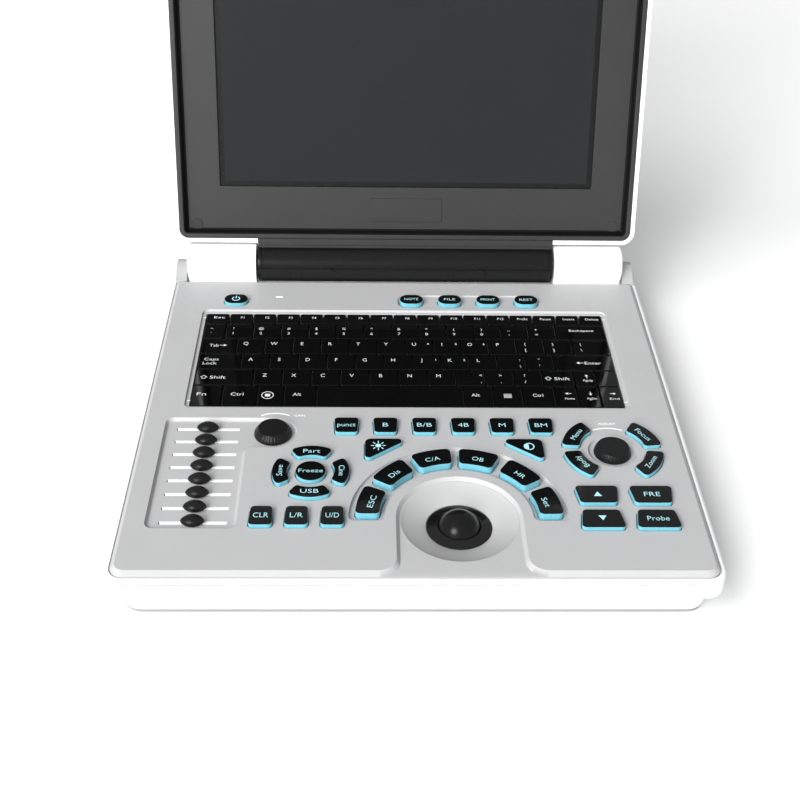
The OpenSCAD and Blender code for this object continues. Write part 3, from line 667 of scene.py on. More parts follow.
def console_panel():
    s = Solid()
    under_holes, top_holes = [], []

    def through(outline, z, grow=KEY_GAP, r=0.3):
        loops = s.well(outline, [*lip(grow, z, r), (grow, PANEL_UNDER)])
        under_holes.append(loops[-1])
        return loops[0]

    def pocket(outline, profile, holes):
        loops = s.well(outline, profile)
        s.plate(loops[-1], holes)
        return loops[0]

    key_floor = {"deck": 0.0, "channel": CHANNEL_Z, "strip": STRIP_Z}
    holes = {place: [] for place in key_floor}
    for outlines, place in KEYS.values():
        for outline in outlines:
            holes[place].append(through(outline, key_floor[place]))
    top_holes += holes["deck"]
    top_holes.append(pocket(half_ring(BALL_X, BALL_Y, *CHANNEL, 4.0),
                            [*lip(0, 0, 0.25), *cove(CHANNEL_Z, 0.4)], holes["channel"]))
    x0, x1, y0, y1, _, _ = deck_box("function_keys")
    strip = rect(x0 - 0.3, x1 + 0.3, y0 - 1.1, y1 + 2.2, 6.4, 1.3)
    top_holes.append(pocket(strip, [*lip(0, 0, 0.15), *cove(STRIP_Z, 0.4)], holes["strip"]))

    slots = []
    for node in SLIDERS:
        x, y = centre(node)
        slots.append(through(rect(x - 19.2, x + 19.2, y - 1.3, y + 1.3, 0.3), RECESS_Z, 0, 0.1))
    slots.append(through(circle(GAIN_X, GAIN_Y, KNOB_HOLE), RECESS_Z, 0, 0.2))
    left, right, near = RECESS
    lobe = GAIN_LOBE
    recess = rounded([(left, near, 5), (right, near, 5), (right, GAIN_Y - lobe, 4),
                      (GAIN_X + lobe, GAIN_Y - lobe, lobe - 0.01),
                      (GAIN_X + lobe, GAIN_Y + lobe, lobe - 0.01), (left, GAIN_Y + lobe, 5)], 1.5)
    walls = [(0.1, 0), (0, -0.05), (-0.25, -0.35), (-1.1, -1.5), (-1.6, -1.87), (-2.2, RECESS_Z)]
    top_holes.append(pocket(recess, walls, slots))

    knob_hole = [through(circle(MENU_X, MENU_Y, KNOB_HOLE), RECESS_Z, 0, 0.2)]
    walls = [(0.15, 0), (0, -0.1), (-0.5, -1.4), (-1.0, -1.88), (-1.5, RECESS_Z)]
    top_holes.append(pocket(circle(MENU_X, MENU_Y, 14.8, 72), walls, knob_hole))

    kx0, kx1, ky0, ky1 = keyboard_rect()
    opening = rect(kx0 - 0.2, kx1 + 0.2, ky0 - 0.2, ky1 + 0.2, 1.6)
    mouth = through(opening, KEYS_TOP, 0, 0.15)
    surround = rect(kx0 - 2.9, kx1 + 2.9, ky0 - 2.9, ky1 + 2.9, 4.5)
    walls = [(0.15, 0), (0, -0.12), (-0.25, -0.95), (-0.4, -1.28), (-0.75, KEYS_TOP)]
    top_holes.append(pocket(surround, walls, [mouth]))

    # dish round the trackball, open at the bottom
    bowl = circle(BALL_X, BALL_Y, 0, 112)
    dish = [(33.9, PANEL_STEP), (33.4, -2.12), (32.6, -2.6), (31.0, -3.15), (29.0, -3.85), (26.5, -4.65),
            (24.0, -5.4), (21.5, -6.15), (SEAT_R + 0.9, -6.75), (SEAT_R + 0.3, -7.05), (SEAT_R + 0.2, -7.4),
            (SEAT_R + 0.2, -9.0), (22, -9.0), (36, PANEL_UNDER)]
    rings = s.well(bowl, dish)
    under_holes.append(rings[-1])

    edge = [s.loop(deck_edge(0.0), PANEL_STEP), s.loop(deck_edge(0.90), -0.17),
            s.loop(deck_edge(0.96), -0.04), s.loop(deck_edge(1.0), 0)]
    s.bands(edge)
    s.plate(edge[-1], top_holes)
    # the tongue's floor runs between the notch's ends and the front seam
    start = DECK_STEPS[0] + 1
    notch = edge[0][start:start + sum(DECK_STEPS[1:5]) + 4]
    s.plate(list(reversed(notch)), [rings[0]])
    low = [s.loop(rounded_panel(-0.3), PANEL_UNDER), s.loop(rounded_panel(0), PANEL_UNDER + 0.3),
           s.loop(rounded_panel(0), PANEL_STEP)]
    s.bands(low)
    s.plate(low[0], under_holes, up=False)
    s.make("deck_moulding", GREY, slot="grey_deck", replaces=["console_panel"])


def rounded_panel(grow):
    """The deck panel's outer edge, with the tongue's two mouth points on it."""
    half, r = PANEL_HALF + grow, 8 + grow
    mouth = 34.2 + 12
    corners = [(-half, -grow, r), (BALL_X - mouth, -grow, 0), (BALL_X + mouth, -grow, 0), (half, -grow, r),
               (half, PANEL_REAR + grow, 1.4), (-half, PANEL_REAR + grow, 1.4)]
    return counted(corners, [8, 0, 0, 8, 4, 4])


def half_ring(x, y, r_in, r_out, r):
    """Half a ring above the ball, with rounded ends that run a little below its centre."""
    def outline(grow=0.0):
        far, near = r_out - r, r_in + r
        low = -2.5 + r
        a_far = degrees(asin(low / far))
        a_near = degrees(asin(low / near))
        far_x, near_x = far * cos(radians(a_far)), near * cos(radians(a_near))

        def end(shift, start, stop):
            return arc(x + shift, y + low, r + grow, start, stop, 8)
        return (arc(x, y, r_out + grow, a_far, 180 - a_far, 72)
                + end(-far_x, 180 - a_far, 270)[1:] + end(-near_x, 270, 360 - a_near)
                + arc(x, y, r_in - grow, 180 - a_near, a_near, 60)[1:-1]
                + end(near_x, 180 + a_near, 270) + end(far_x, 270, 360 + a_far)[:-1])
    return outline


def deck_print():
    s = Solid()
    for x, y, r, half in ((GAIN_X + 0.4, 125.4, 17.6, 30), (MENU_X, MENU_Y, 22.6, 24)):
        stroke(s, arc(x, y, r, 90 + half, 90 - half, 20), 0.7)
    letters(s, "GAIN", GAIN_X + 15.5, GAIN_Y + 17, 2.0, 6.5)
    letters(s, "ADJUST", MENU_X + 0.5, MENU_Y + 27.2, 2.0, 11)
    mark(s, rect(-93.3, -88.1, 279.9, 281.5, 0.7)())
    kx0, kx1, ky0, ky1 = keyboard_rect()
    for x in (kx0 - 2.1, kx1 - 0.1):
        for y in (ky0 + 6.2, ky1 - 5.6):
            stroke(s, [(x, y), (x + 2.2, y)], 0.5, KEYS_TOP)
    s.make("deck_marks", DECK_PRINT, slot="white_shell")


def seat():
    s = Solid()
    z0 = deck_box("trackball_seat").z0
    profile = [(14, z0), (SEAT_R - 0.1, z0 + 5), (SEAT_R - 0.1, -7.3), (SEAT_R - 0.5, -6.98),
               (SEAT_R - 2.0, -6.75), (16.0, -6.5), (14.4, -6.2), (13.6, -6.08), (13.1, -5.9),
               (12.7, -5.75), (12.4, -5.8), (12.28, -6.0)]
    low, high = deck_box("trackball")[4:]
    cup, middle = (high - low) / 2 + BALL_GAP, (high + low) / 2
    profile += [(cup * cos(radians(a)), middle + cup * sin(radians(a))) for a in range(12, -88, -7)]
    s.turned(BALL_X, BALL_Y, profile, 96)
    s.make("trackball_ring", SEAT, slot="black_plastic", replaces=["trackball_seat"], sharp=50)


def ball():
    s = Solid()
    z0, z1 = deck_box("trackball")[4:]
    r = (z1 - z0) / 2
    rows = 48
    profile = [(r * sin(pi * i / rows), z0 + r - r * cos(pi * i / rows)) for i in range(1, rows)]
    s.turned(BALL_X, BALL_Y, profile, 96)
    s.make("trackball_sphere", BALL, "trackball", "ball_gloss", ["trackball"], sharp=60)


# ---- Keys ----

LEGENDS = {
    "escape_key": [("ESC", 75, 10.4)], "distance_key": [("Dis", 45, 7.6)],
    "circumference_key": [("C/A", 15, 9.0)], "obstetrics_key": [("OB", -15, 7.0)],
    "heart_rate_key": [("HR", -45, 7.0)], "set_key": [("Set", -75, 8.0)],
    "body_part_key": [("Part", 0, 10.2)], "save_key": [("Save", 90, 9.8)],
    "usb_key": [("USB", 0, 10.6)], "cine_key": [("Cine", -90, 9.4)],
    "freeze_key": [("Freeze", 0, 14.4)],
    "menu_key": [("Menu", 57.5, 11.0)], "focus_key": [("Focus", -57.5, 12.6)],
    "body_mark_key": [("Body", 122.5, 11.0)], "zoom_key": [("Zoom", 57.5, 12.0)],
    "clear_key": [("CLR", 0, 8.6)], "flip_side_key": [("L/R", 0, 7.2)],
    "flip_up_down_key": [("U/D", 0, 7.6)],
    "frequency_key": [("FRE", 0, 9.4)], "probe_key": [("Probe", 0, 12.6)],
    "mode_keys": [("punct", 0, 11.2), ("B", 0, 3.4), ("B/B", 0, 9.2), ("4B", 0, 6.6), ("M", 0, 4.2),
                  ("BM", 0, 7.8)],
    "function_keys": [("NOTE", 0, 9.8), ("FILE", 0, 8.0), ("PRINT", 0, 10.2), ("REST", 0, 9.6)],
}
CAPITALS = {"freeze_key": 3.3, "function_keys": 3.0, "mode_keys": 3.9, "frequency_key": 4.0,
            "probe_key": 3.9, "clear_key": 4.2, "flip_side_key": 4.2, "flip_up_down_key": 4.2}


def middle_of(outline, node):
    """Where a key's legend goes: the middle of its outline, or of its band in a ring."""
    rings = [(ARC_LEGENDS, BALL_X, BALL_Y, 51.2), (dict(PAD_NODES), *centre("freeze_key"), 18.4),
             (dict(RING_NODES), MENU_X, MENU_Y, 24.6)]
    for angles, x, y, r in rings:
        if node in angles:
            a = radians(angles[node])
            return x + r * cos(a), y + r * sin(a)
    return tuple((min(v) + max(v)) / 2 for v in zip(*outline()))


def shaped_key(node, outlines):
    z_top = deck_box(node).z1
    cap_low = z_top - 0.38
    skirt, cap, print_ = Solid(), Solid(), Solid()
    for outline in outlines:
        skirt.stack(outline, [(FLANGE, -6.6), (FLANGE, -5.2), (-0.02, -5.2), (-0.02, 0.2),
                              (-0.12, cap_low - 0.25), (-0.22, cap_low - 0.05), (-0.45, cap_low)])
        cap.stack(outline, [(-0.6, cap_low - 0.02), (-0.24, cap_low + 0.02),
                            *crown(-0.2, z_top, 0.32, 0.32, 3)])
    skirt.make(node + "_skirt", SKIRT, node, "key_shell", [node])
    cap.make(node + "_cap", KEYCAP, node, "keyboard_gloss", [node])
    words = LEGENDS.get(node, [])
    for outline, (word, angle, width) in zip(outlines, words):
        x, y = middle_of(outline, node)
        letters(print_, word, x, y, CAPITALS.get(node, 3.6), width, angle, z_top)
    if not words:
        pictogram(print_, node, outlines[0], z_top)
    print_.make(node + "_legend", PRINT, node, "key_shell")


BRIGHTNESS_MARK, CONTRAST_MARK = (-20.6, 107.8), (70.7, 107.4)


def pictogram(s, node, outline, z):
    x, y = middle_of(outline, node)
    if node in ("up_key", "down_key"):
        way = 1 if node == "up_key" else -1
        y -= 0.2 * way
        tip = [(x - 2.3, y - 1.9 * way), (x + 2.3, y - 1.9 * way), (x, y + 2.1 * way)]
        mark(s, tip if way > 0 else tip[::-1], z)
    elif node == "power_key":
        stroke(s, arc(x, y - 0.2, 2.5, 125, 415, 24), 0.75, z)
        stroke(s, [(x, y + 0.3), (x, y + 3.4)], 0.75, z)
    elif node == "brightness_key":
        x, y = BRIGHTNESS_MARK
        mark(s, circle(x, y, 1.75, 24)(), z)
        for i in range(8):
            a = radians(45 * i)
            stroke(s, [(x + r * cos(a), y + r * sin(a)) for r in (2.5, 4.4)], 0.6, z)
    elif node == "contrast_key":
        x, y = CONTRAST_MARK
        mark(s, arc(x, y, 3.1, 90, 270, 18), z)
        stroke(s, arc(x, y, 3.1, -92, 92, 18), 0.7, z)


# ---- Keyboard ----

KEYS_W = 277.6
LETTER = 19.0
ARROW = 14.5


def letter_row(first, count):
    return [first] + [LETTER] * count + [KEYS_W - first - count * LETTER]


ROWS = [
    [KEYS_W / 17] * 17,
    letter_row(15, 12), letter_row(24, 12), letter_row(28.6, 11),
    [38] + [LETTER] * 10 + [KEYS_W - 38 - 2 * ARROW - 10 * LETTER, ARROW, ARROW],
    [19.6, 22.5, 17, 21, KEYS_W - 139.1 - 3 * ARROW, 19, 19, 21, ARROW, ARROW, ARROW],
]
ROW_WORDS = [
    ["Esc"] + [f"F{i}" for i in range(1, 13)] + ["PrtSc", "Pause", "Insert", "Delete"],
    ["~ `"] + [f"{sign} {n % 10}" for n, sign in enumerate("!@#$%^&*()", 1)] + ["_ -", "+ =", "Backspace"],
    ["Tab"] + list("QWERTYUIOP") + ["{ [", "} ]", "| \\"],
    ["Caps|Lock"] + list("ASDFGHJKL") + [": ;", "\" '", "Enter"],
    ["Shift"] + list("ZXCVBNM") + ["< ,", "> .", "? /", "Shift", "PgUp", ""],
    ["Fn", "Ctrl", "", "Alt", "", "Alt", "", "Ctrl", "Home", "PgDn", "End"],
]
# keys by (row from the rear, place from the left)
SYSTEM_KEY, LIST_KEY = (5, 2), (5, 6)
SHAPED_ARROWS = {(4, 12): 90, (5, 8): 180, (5, 9): 270, (5, 10): 0}


def key_rects():
    rear = deck_box("keyboard_keys").y1 + 0.4
    for row, widths in enumerate(ROWS):
        left = deck_box("keyboard_keys").x0 - 0.4
        for i, width in enumerate(widths):
            yield row, i, left + 0.4, left + width - 0.4, rear - ROW_DEPTHS[row] + 0.4, rear - 0.4
            left += width
        rear -= ROW_DEPTHS[row]


def arrow(s, x, y, angle, size, z):
    a = radians(angle)

    def at(u, v):
        return x + u * cos(a) - v * sin(a), y + u * sin(a) + v * cos(a)
    stroke(s, [at(-size, 0), at(size * 0.2, 0)], 0.4, z)
    mark(s, [at(size, 0), at(size * 0.1, size * 0.55), at(size * 0.1, -size * 0.55)], z)


LEGEND_SHIFT = {1: (-1.4, -1.4), 2: (-0.7, -1.0), 3: (-0.7, -1.4), 4: (0.5, -1.5), 5: (0, -4.6)}
PAD_DIGITS = {"U": "4", "I": "5", "O": "6", "J": "1", "K": "2"}
LATE_SIGNS = {(3, 10): 9.0, (4, 8): 9.0, (3, 11): 3.0, (4, 9): 3.0}
WIDE_WORDS = {(0, 0): (1.2, 0, 7.6), (1, 13): (0.6, 0, 17), (2, 0): (-3, -2.4, 6), (3, 12): (6, -2.6, 11),
              (4, 0): (-4, -2.6, 10.2), (4, 11): (2.4, -2.6, 10.2), (5, 0): (-3.4, 0, 6),
              (5, 1): (-1.6, 0, 8.2), (5, 3): (-2, 0, 5.4), (5, 5): (-2, 0, 5.4), (5, 7): (-0.7, 0, 6.6)}


def shift_arrow(s, x, y, z):
    """The hollow arrow beside the word Shift."""
    shape = [(-1, -1.5), (-1, 0.1), (-2.2, 0.1), (0, 2), (2.2, 0.1), (1, 0.1), (1, -1.5), (-1, -1.5)]
    for (ax, ay), (bx, by) in zip(shape, shape[1:]):
        stroke(s, [(x + ax, y + ay), (x + bx, y + by)], 0.34, z)


def key_legend(s, row, i, x0, x1, y0, y1, top):
    word = ROW_WORDS[row][i]
    dx, dy = LEGEND_SHIFT.get(row, (0, 0))
    left, rear = x0 + 3.2 + dx, y1 - 4.6 + dy
    middle, level = (x0 + x1) / 2, (y0 + y1) / 2

    def write(text, x, y, height, width=None, stretch=1.0):
        letters(s, text, x, y, height, width, z=top, stretch=stretch)

    if (row, i) in SHAPED_ARROWS:
        arrow_y, word_y = (y1 - 7.2, y1 - 12.6) if row == 5 else (y1 - 6.0, y1 - 10.6)
        arrow(s, middle + 1.4, arrow_y, SHAPED_ARROWS[row, i], 2.0, top)
        write(word, middle + 1.8, word_y, 2.2, 6.2)
    elif row == 0 and i > 0:
        x = middle + (1.8 if 2 <= i <= 12 else 0.9)
        write(word, x, level + 1.5, 2.6, stretch=0.92 if i < 13 else 1.0)
    elif (row, i) == SYSTEM_KEY:
        x, y = middle - 1.8, level + 0.8
        stroke(s, arc(x, y, 3.7, 0, 360, 32), 0.5, top)
        mark(s, rect(x - 1.7, x + 1.7, y - 1.4, y + 1.4, 0.5)(), top)
    elif (row, i) == LIST_KEY:
        for k in range(4):
            y = rear + 0.9 - 1.2 * k
            stroke(s, [(left + 3, y), (left + 8.2, y)], 0.42, top)
    elif (row, i) in WIDE_WORDS:
        wx, wy, wide = WIDE_WORDS[row, i]
        y = level + 1.5 if row == 0 else rear + wy
        write(word, middle + wx, y, 2.6 if row < 2 else 3.3, wide)
        if word == "Shift":
            shift_arrow(s, middle + wx - wide / 2 - 4, y, top)
        elif word in ("Enter", "Tab"):
            side = -1 if word == "Enter" else 1
            arrow(s, middle + wx + side * (wide / 2 + 3.2), y, 180 if side < 0 else 0, 2.4, top)
    elif " " in word:
        high, low = word.split(" ")
        x = left + 3.2 + LATE_SIGNS.get((row, i), 0)
        write(high, x, rear + 0.8, 2.8)
        write(low, x, rear - 5.2 if row == 1 else rear - 6.2, 3.0)
    elif "|" in word:
        high, low = word.split("|")
        write(high, left + 6.0, rear, 3.0, 9.6)
        write(low, left + 5.2, rear - 4.6, 3.0, 9.2)
    elif word:
        write(word, left + 3.4, rear, 3.6, stretch=0.92)
        if word in PAD_DIGITS:
            write(PAD_DIGITS[word], left + 13, rear + 0.4, 2.3)


def keyboard():
    keys, print_ = Solid(), Solid()
    top = KEYS_TOP
    z0 = deck_box("keyboard_keys").z0
    for row, i, x0, x1, y0, y1 in key_rects():
        keys.stack(rect(x0, x1, y0, y1, 1.3, 0.8), [(0, z0), (0, top - 0.7), *crown(0, top, 0.5, 0.45, 3)])
        if ROW_WORDS[row][i] or row == 5:
            key_legend(print_, row, i, x0, x1, y0, y1, top)
    keys.make("keyboard_keycaps", KEYBED, "keyboard_keys", "keyboard_gloss", ["keyboard_keys"])
    print_.make("keyboard_legends", WHITE_PRINT, "keyboard_keys", "keyboard_gloss")


# ---- Sliders and knobs ----

def slider(node):
    x, y = centre(node)
    s = Solid()

    def lens(grow):
        k = 1 + grow
        return [(x + 6.95 * k * cos(t), y + 4.5 * k * abs(sin(t)) ** 1.42 * (1 if sin(t) >= 0 else -1))
                for t in (2 * pi * i / 56 for i in range(56))]
    steps = [(-0.14, -1.4), (-0.08, -1.35), (-0.03, -1.0), (0, -0.75), (-0.01, -0.6)]
    rise = [radians(6 + 81 * k / 12) for k in range(13)]
    dome = [(-1 + 0.985 * cos(t), -0.6 + 3.9 * sin(t) ** 0.9) for t in rise]
    s.stack(lens, steps + dome)
    s.stack(rect(x - 2.2, x + 2.2, y - 0.35, y + 0.35, 0.15), [(0, -7.6), (0, -1.3)])
    s.make(node + "_cap", KNOB, node, "black_plastic", [node], sharp=60)


def slot_lips():
    """Two pale dust lips in each slider's slot, either side of its blade. Their pale colour is partly
    painted highlight, standing for the slot's rear wall lit from the front.
    """
    s = Solid()
    for node in SLIDERS:
        x, y = centre(node)
        for side in (-1, 1):
            y0, y1 = sorted((y + side * 0.42, y + side * 1.26))
            s.stack(rect(x - 18.7, x + 19.1, y0, y1, 0.05), [(0, -3.8), (0, -2.35)])
    s.make("slot_dust_lips", LIPS_PAINTED_HIGHLIGHT, slot="white_shell")


KNOB_TOPS = {"gain_knob": 9.4, "menu_knob": 9.9}
FLUTES, FLUTE_DEPTH = 30, 0.22


def knob(node):
    x, y = centre(node)
    box, top = deck_box(node), deck_box(node).z1
    wide, narrow, low = (box.x1 - box.x0) / 2, KNOB_TOPS[node], RECESS_Z + 0.4
    s = Solid()

    def ring(r, z, depth=0.0):
        turns = [2 * pi * i / 240 for i in range(240)]
        reach = [r - depth * r / wide * max(0, cos(FLUTES * t)) for t in turns]
        return s.loop([(x + d * cos(t), y + d * sin(t)) for t, d in zip(turns, reach)], z)
    side = [(wide, low + 0.9), (wide - 0.15, low + 1.7), (wide - (wide - narrow) * 0.35, low + 3.0),
            (narrow + 0.25, top - 1.0)]
    rim = [(0, -0.55), (-0.25, -0.15), (-0.75, 0), (-1.3, -0.05), (-2.0, -0.12)]
    s.close([ring(r, z) for r, z in base(wide, low, 0.4)]
            + [ring(r, z, FLUTE_DEPTH) for r, z in side]
            + [ring(narrow + r, top + z) for r, z in rim])
    s.turned(x, y, [(3, box.z0), (3, low + 0.1)], 32)
    obj = s.make(node + "_cap", KNOB, node, "black_plastic", [node], sharp=40)
    dimple = Solid()
    dimple.turned(x, y + narrow - 3.2, [(0.35, top - 0.45), (0.8, top - 0.12), (0.95, top + 0.6)], 24)
    cut(obj, dimple)


# ---- Lid and hinge ----

LID_HALF, LID_NEAR, LID_REACH = 167.0, 16.0, 312.0
LID_FRONT, LID_BACK = 5.9, -18.1
BEZEL_FACE, GLASS = -0.6, -2.62
SCREEN_RECT = (-134.0, 134.0, 56.0, 270.0)
LID = rect(-LID_HALF, LID_HALF, LID_NEAR, LID_REACH, 9.6, 1.2)
LID_FIELD = rect(-LID_HALF, LID_HALF, LID_NEAR, LID_REACH, 26, 0.8)
STOP_X, STOP_UPS = 151.6, (28.2, 299.8)
NECK_HALF, STRIP_HALF = 107.4, 105.5


def cover():
    s = Solid(on_lid)
    outer = s.well(LID, base(0, LID_BACK, 5, 5, 8) + crown(0, LID_FRONT - 0.4, 0.8, 0.8, 4))
    inner = s.well(LID, [(-2.9, LID_FRONT - 0.4), (-3.2, LID_FRONT - 0.7), (-3.2, LID_BACK + 3.4)])
    s.band(outer[-1], inner[0])
    s.plate(inner[-1])
    field = [(-15, LID_BACK), (-15.6, LID_BACK + 0.15), (-16.2, LID_BACK + 0.45), (-17, LID_BACK + 0.5)]
    rings = [s.loop(LID_FIELD(g), z) for g, z in field]
    for a, b in zip(rings, rings[1:]):
        s.band(b, a)
    s.plate(outer[0], [rings[0]], up=False)
    s.plate(rings[-1], up=False)
    obj = s.make("lid_cover", WHITE, "display", "white_shell", ["display_cover"])
    gap = rect(-NECK_HALF - 0.1, NECK_HALF + 0.1, LID_NEAR - 1, LID_NEAR + 4.2, 0.3)
    cut(obj, tile(gap, 0.9, LID_FRONT + 1, on_lid))


def bezel():
    s = Solid(on_lid)
    opening = rect(*SCREEN_RECT, 1.2)
    rim = [(-3.3, -2.6), (-3.3, LID_FRONT - 0.6), *crown(-3.3, LID_FRONT, 0.6, 0.6, 4), (-6.2, LID_FRONT),
           (-6.5, LID_FRONT - 0.12), (-6.7, LID_FRONT - 0.5), (-6.8, -1.2), (-6.95, -1.4), (-9.9, -1.4),
           (-10.0, -1.2), (-10.1, -0.95), (-10.3, -0.7), (-10.7, BEZEL_FACE)]
    loops = s.well(LID, rim)
    hole = s.well(opening, [(0.5, BEZEL_FACE), (0.15, BEZEL_FACE - 0.1), (0, BEZEL_FACE - 0.4), (0, -2.6)])
    s.plate(loops[-1], [hole[0]])
    s.plate(loops[0], [hole[-1]], up=False)
    s.make("lid_bezel", BEZEL, "display", "dark_bezel", ["display_bezel"])
    # A seal lining the groove between cover rim and bezel face, coloured near-black as painted shade of the
    # groove's wall.
    painted_shade_gasket = Solid(on_lid)
    ring = [(-6.85, -1.38), (-6.8, 4.9), (-7.0, 5.1), (-7.3, 5.0), (-8.0, 1.5), (-8.6, 0.2), (-9.5, -0.3),
            (-9.8, -0.5), (-9.85, -1.38)]
    turns = painted_shade_gasket.well(LID, ring)
    painted_shade_gasket.band(turns[-1], turns[0])
    painted_shade_gasket.make("bezel_painted_shade_gasket", GASKET_PAINTED_SHADE, "display", "black_plastic", ["display_bezel"])
    badge = Solid(on_lid)
    badge.stack(rect(-26, 26, 31, 48, 2.2), [(0, BEZEL_FACE - 0.2), *crown(0, 0.0, 0.3, 0.45, 4)])
    badge.make("badge_plate", BEZEL, "display", "dark_bezel", ["display_bezel"])


def screen():
    s = Solid(on_lid)
    x0, x1, y0, y1 = SCREEN_RECT
    s.stack(rect(x0 - 5, x1 + 5, y0 - 5, y1 + 5, 1), [(0, -10.6), *crown(0, GLASS, 0.3, 0.3, 2)])
    s.make("screen_panel", SCREEN, "display", "screen_panel", ["display_screen"])
    m = Solid(on_lid)
    low, high = m.well(rect(x0 + 0.05, x1 - 0.05, y0 + 0.05, y1 - 0.05, 1.1),
                       [(0, GLASS), (0, GLASS + 0.06)])
    inner = m.well(rect(x0 + 3.5, x1 - 3.5, y0 + 3.5, y1 - 3.5, 0.6), [(0, GLASS + 0.06), (0, GLASS)])
    m.plate(high, [inner[0]])
    m.plate(low, [inner[1]], up=False)
    m.make("screen_mask", MASK, "display", "screen_panel", ["display_screen"])


def plugs():
    s = Solid(on_lid)
    for side in (-1, 1):
        for up in STOP_UPS:
            s.turned(side * STOP_X, up, [(4.2, BEZEL_FACE - 0.1), *crown(4.2, -0.16, 0.35, 0.3, 3),
                                         (2.6, -0.1), (1.2, -0.1)], 40)
    s.make("lid_stops", RUBBER, "display", "rubber", ["bezel_plugs"])


def barrel():
    s = Solid(along_x)
    half = 107.5
    end = [(11.6, 0), (12.9, 0), (13.35, 0.3), (13.5, 0.9), (13.5, 2.6), (13.1, 2.9), (13.1, 3.5),
           (13.4, 3.9)]
    steps = [(r, x - half) for r, x in end] + [(r, half - x) for r, x in reversed(end)]
    s.turned(0, 0, steps, 128)
    s.make("hinge_barrel_tube", BARREL, "display", "black_barrel", ["hinge_barrel"], sharp=28)
    neck = Solid(on_lid)
    neck.stack(rect(-NECK_HALF, NECK_HALF, 6.0, LID_NEAR - 0.05, 0.4),
               [(0, -9), (0, 3.9), (-0.2, 4.6), (-0.5, 4.8)])
    neck.stack(rect(-NECK_HALF, NECK_HALF, LID_NEAR - 1.5, LID_NEAR + 3.25, 0.4),
               [(0, 1), (0, 4.7), *crown(0, LID_FRONT, 0.5, 0.5, 3)])
    neck.make("hinge_neck", BEZEL, "display", "dark_bezel", ["hinge_barrel"])
    strip = Solid(along_x)
    shape = rounded([(-14.2, -7.5, 0.7), (-9, -7.5, 0.7), (-9, 2.4, 0.7), (-14.2, 2.4, 1.2)], 2)
    strip.stack(shape, [(-0.3, -STRIP_HALF), (0, -STRIP_HALF + 0.3), (0, STRIP_HALF - 0.3),
                        (-0.3, STRIP_HALF)])
    strip.make("barrel_front_strip", BARREL, "display", "black_barrel", ["barrel_strip"])
    buttons = Solid(lambda x, z, out: HINGE + MM * Vector((x, -out, z)))
    for x in (-55, 55):
        buttons.turned(x, -0.4, [(3.4, 13.9), (3.4, 14.5), *crown(3.4, 14.75, 0.3, 0.25, 3),
                                 (1.5, 14.79)], 40)
    buttons.make("strip_plugs", KNOB, "display", "black_barrel", ["barrel_strip"])


def caps():
    s = Solid(along_x)
    half_deep, r = 12.0, 14.5
    low = SHELF - (HINGE.z - DECK) / MM

    def shape(grow):
        deep, reach = half_deep + grow, r + grow
        lower = degrees(asin(-sqrt(1 - (deep / reach) ** 2)))
        return [(deep, low), *arc(0, 0, reach, lower, 180 - lower, 72), (-deep, low)]

    soft, crisp = [(-2.4, 0), (-1.2, 0.3), (-0.45, 1.0), (0, 2.4)], [(-0.9, 0), (-0.25, 0.3), (0, 0.9)]
    for side in (-1, 1):
        ends = sorted((side * 108.5, side * 158.6))
        first, last = (soft, crisp) if side < 0 else (crisp, soft)
        s.stack(shape, [(g, ends[0] + x) for g, x in first] + [(g, ends[1] - x) for g, x in reversed(last)])
    s.make("hinge_cap_covers", WHITE, slot="white_shell", replaces=["hinge_caps"])


# ---- Sockets ----

def sockets():
    s = Solid()
    y1 = deck_box("rear_ports").y1
    for x0, x1, z0, z1 in openings("rear_ports"):
        wide, mid = x1 - x0, (z0 + z1) / 2
        s.stack(rect(x0 + wide * 0.26, x1 - wide * 0.26, y1 - 9.5, y1 - 1.5, 0.3),
                [(0, mid - 0.7), (0, mid + 0.9)])
    s.make("port_tongues", PORT, slot="black_plastic")
    c = Solid()
    y1 = deck_box("probe_socket").y1
    for x0, x1, z0, z1 in openings("probe_socket"):
        for row in range(2):
            for i in range(20):
                x = x0 + 8 + (x1 - x0 - 16) * i / 19
                z = (z0 + z1) / 2 + (row - 0.5) * 3.4
                c.stack(rect(x - 0.4, x + 0.4, y1 - 10, y1 - 4, 0.1), [(0, z - 0.5), (0, z + 0.5)])
    c.make("probe_contacts", STEEL, slot="steel")


def inner_parts():
    """Gives the CAD nodes whose own shape is kept their finished surfaces."""
    finish = {"keyboard_frame": PORT, "control_board": BOARD, "slider_pots": STEEL, "main_board": BOARD,
              "battery_pack": WRAP, "probe_socket": PORT, "rear_ports": STEEL, "case_screws": STEEL,
              "hinge_shafts": STEEL}
    for node, mat in finish.items():
        data = NODES[node].data
        data.materials.clear()
        data.materials.append(mat)


# ---- Studio ----

def disk_light(name, at, size, energy):
    """A round soft light aimed at the console."""
    light = bpy.data.lights.new(name, "AREA")
    light.shape, light.size, light.energy = "DISK", size, energy
    obj = new_object(name, light)
    obj.location = at
    obj.rotation_euler = (Vector((0, 0, 0.05)) - Vector(at)).to_track_quat("-Z", "Y").to_euler()


def sun_light(name, azimuth, elevation, spread, energy, shadow=True):
    """A distant soft light. Azimuth 0 shines from the front, negative from the left."""
    light = bpy.data.lights.new(name, "SUN")
    light.angle, light.energy, light.use_shadow = radians(spread), energy, shadow
    a, e = radians(azimuth), radians(elevation)
    source = Vector((sin(a) * cos(e), -cos(a) * cos(e), sin(e)))
    obj = new_object(name, light)
    obj.rotation_euler = source.to_track_quat("Z", "Y").to_euler()
    obj.visible_glossy = False


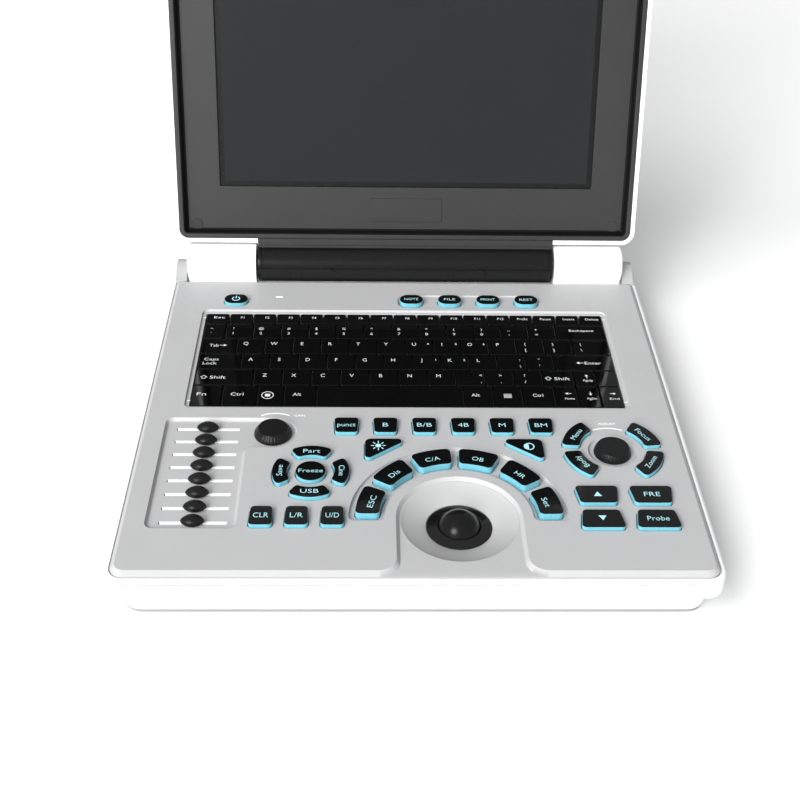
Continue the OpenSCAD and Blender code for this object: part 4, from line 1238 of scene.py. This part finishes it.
def studio():
    floor_solid = Solid(lambda x, y, z: Vector((x, y, z)))
    floor_solid.plate(floor_solid.loop(rect(-5, 5, -4, 6, 1)(), 0))
    mesh = bpy.data.meshes.new("floor")
    mesh.from_pydata([Vector(p) for p in floor_solid.points], [], floor_solid.faces)
    mesh.materials.append(material("pale_floor", (0.70, 0.70, 0.70), 0.8, 0.01, mottle_size=400))
    floor = new_object("floor", mesh)
    world = bpy.data.worlds.new("studio")
    world.use_nodes = True
    world.node_tree.nodes["Background"].inputs["Color"].default_value = (0.98, 0.99, 1, 1)
    world.node_tree.nodes["Background"].inputs["Strength"].default_value = 0.39
    SCENE.world = world
    sun_light("front_light", -25, 22, 30, 2.6)
    sun_light("front_fill", -12, 22, 30, 2.1, shadow=False)
    sun_light("left_light", -58, 45, 35, 2.1)
    disk_light("front_softbox", (-1.3, -2.0, 1.35), 1.8, 20)
    disk_light("lamp", (-1.25, -1.9, 1.28), 1.0, 15)
    SCENE.view_settings.view_transform = "Standard"


FOCAL_PIXELS, CAMERA_AT = 1261, (-26.6, -488.7, 479.3)
CAMERA_WAY, CAMERA_ROLL = (0.0249, 0.8030, -0.5955), 1.289


def camera():
    lens = bpy.data.cameras.new("camera")
    lens.sensor_width, lens.lens = 36, 36 * FOCAL_PIXELS / 800
    lens.clip_start, lens.clip_end = 0.01, 50
    obj = new_object("camera", lens)
    forward = Vector(CAMERA_WAY).normalized()
    level = forward.cross(Vector((0, 0, 1))).normalized()
    upright = level.cross(forward)
    roll = radians(CAMERA_ROLL)
    right = level * cos(roll) + upright * sin(roll)
    up = upright * cos(roll) - level * sin(roll)
    turn = Matrix((right, up, -forward)).transposed()
    obj.matrix_world = Matrix.Translation(on_deck(*CAMERA_AT)) @ turn.to_4x4()
    SCENE.camera = obj


camera()
studio()
main_case()
ears()
bottom_case()
feet()
console_panel()
deck_print()
seat()
ball()
for key_node, (key_shapes, _) in KEYS.items():
    shaped_key(key_node, key_shapes)
keyboard()
for slider_node in SLIDERS:
    slider(slider_node)
slot_lips()
for knob_node in KNOB_TOPS:
    knob(knob_node)
cover()
bezel()
screen()
plugs()
barrel()
caps()
sockets()
inner_parts()
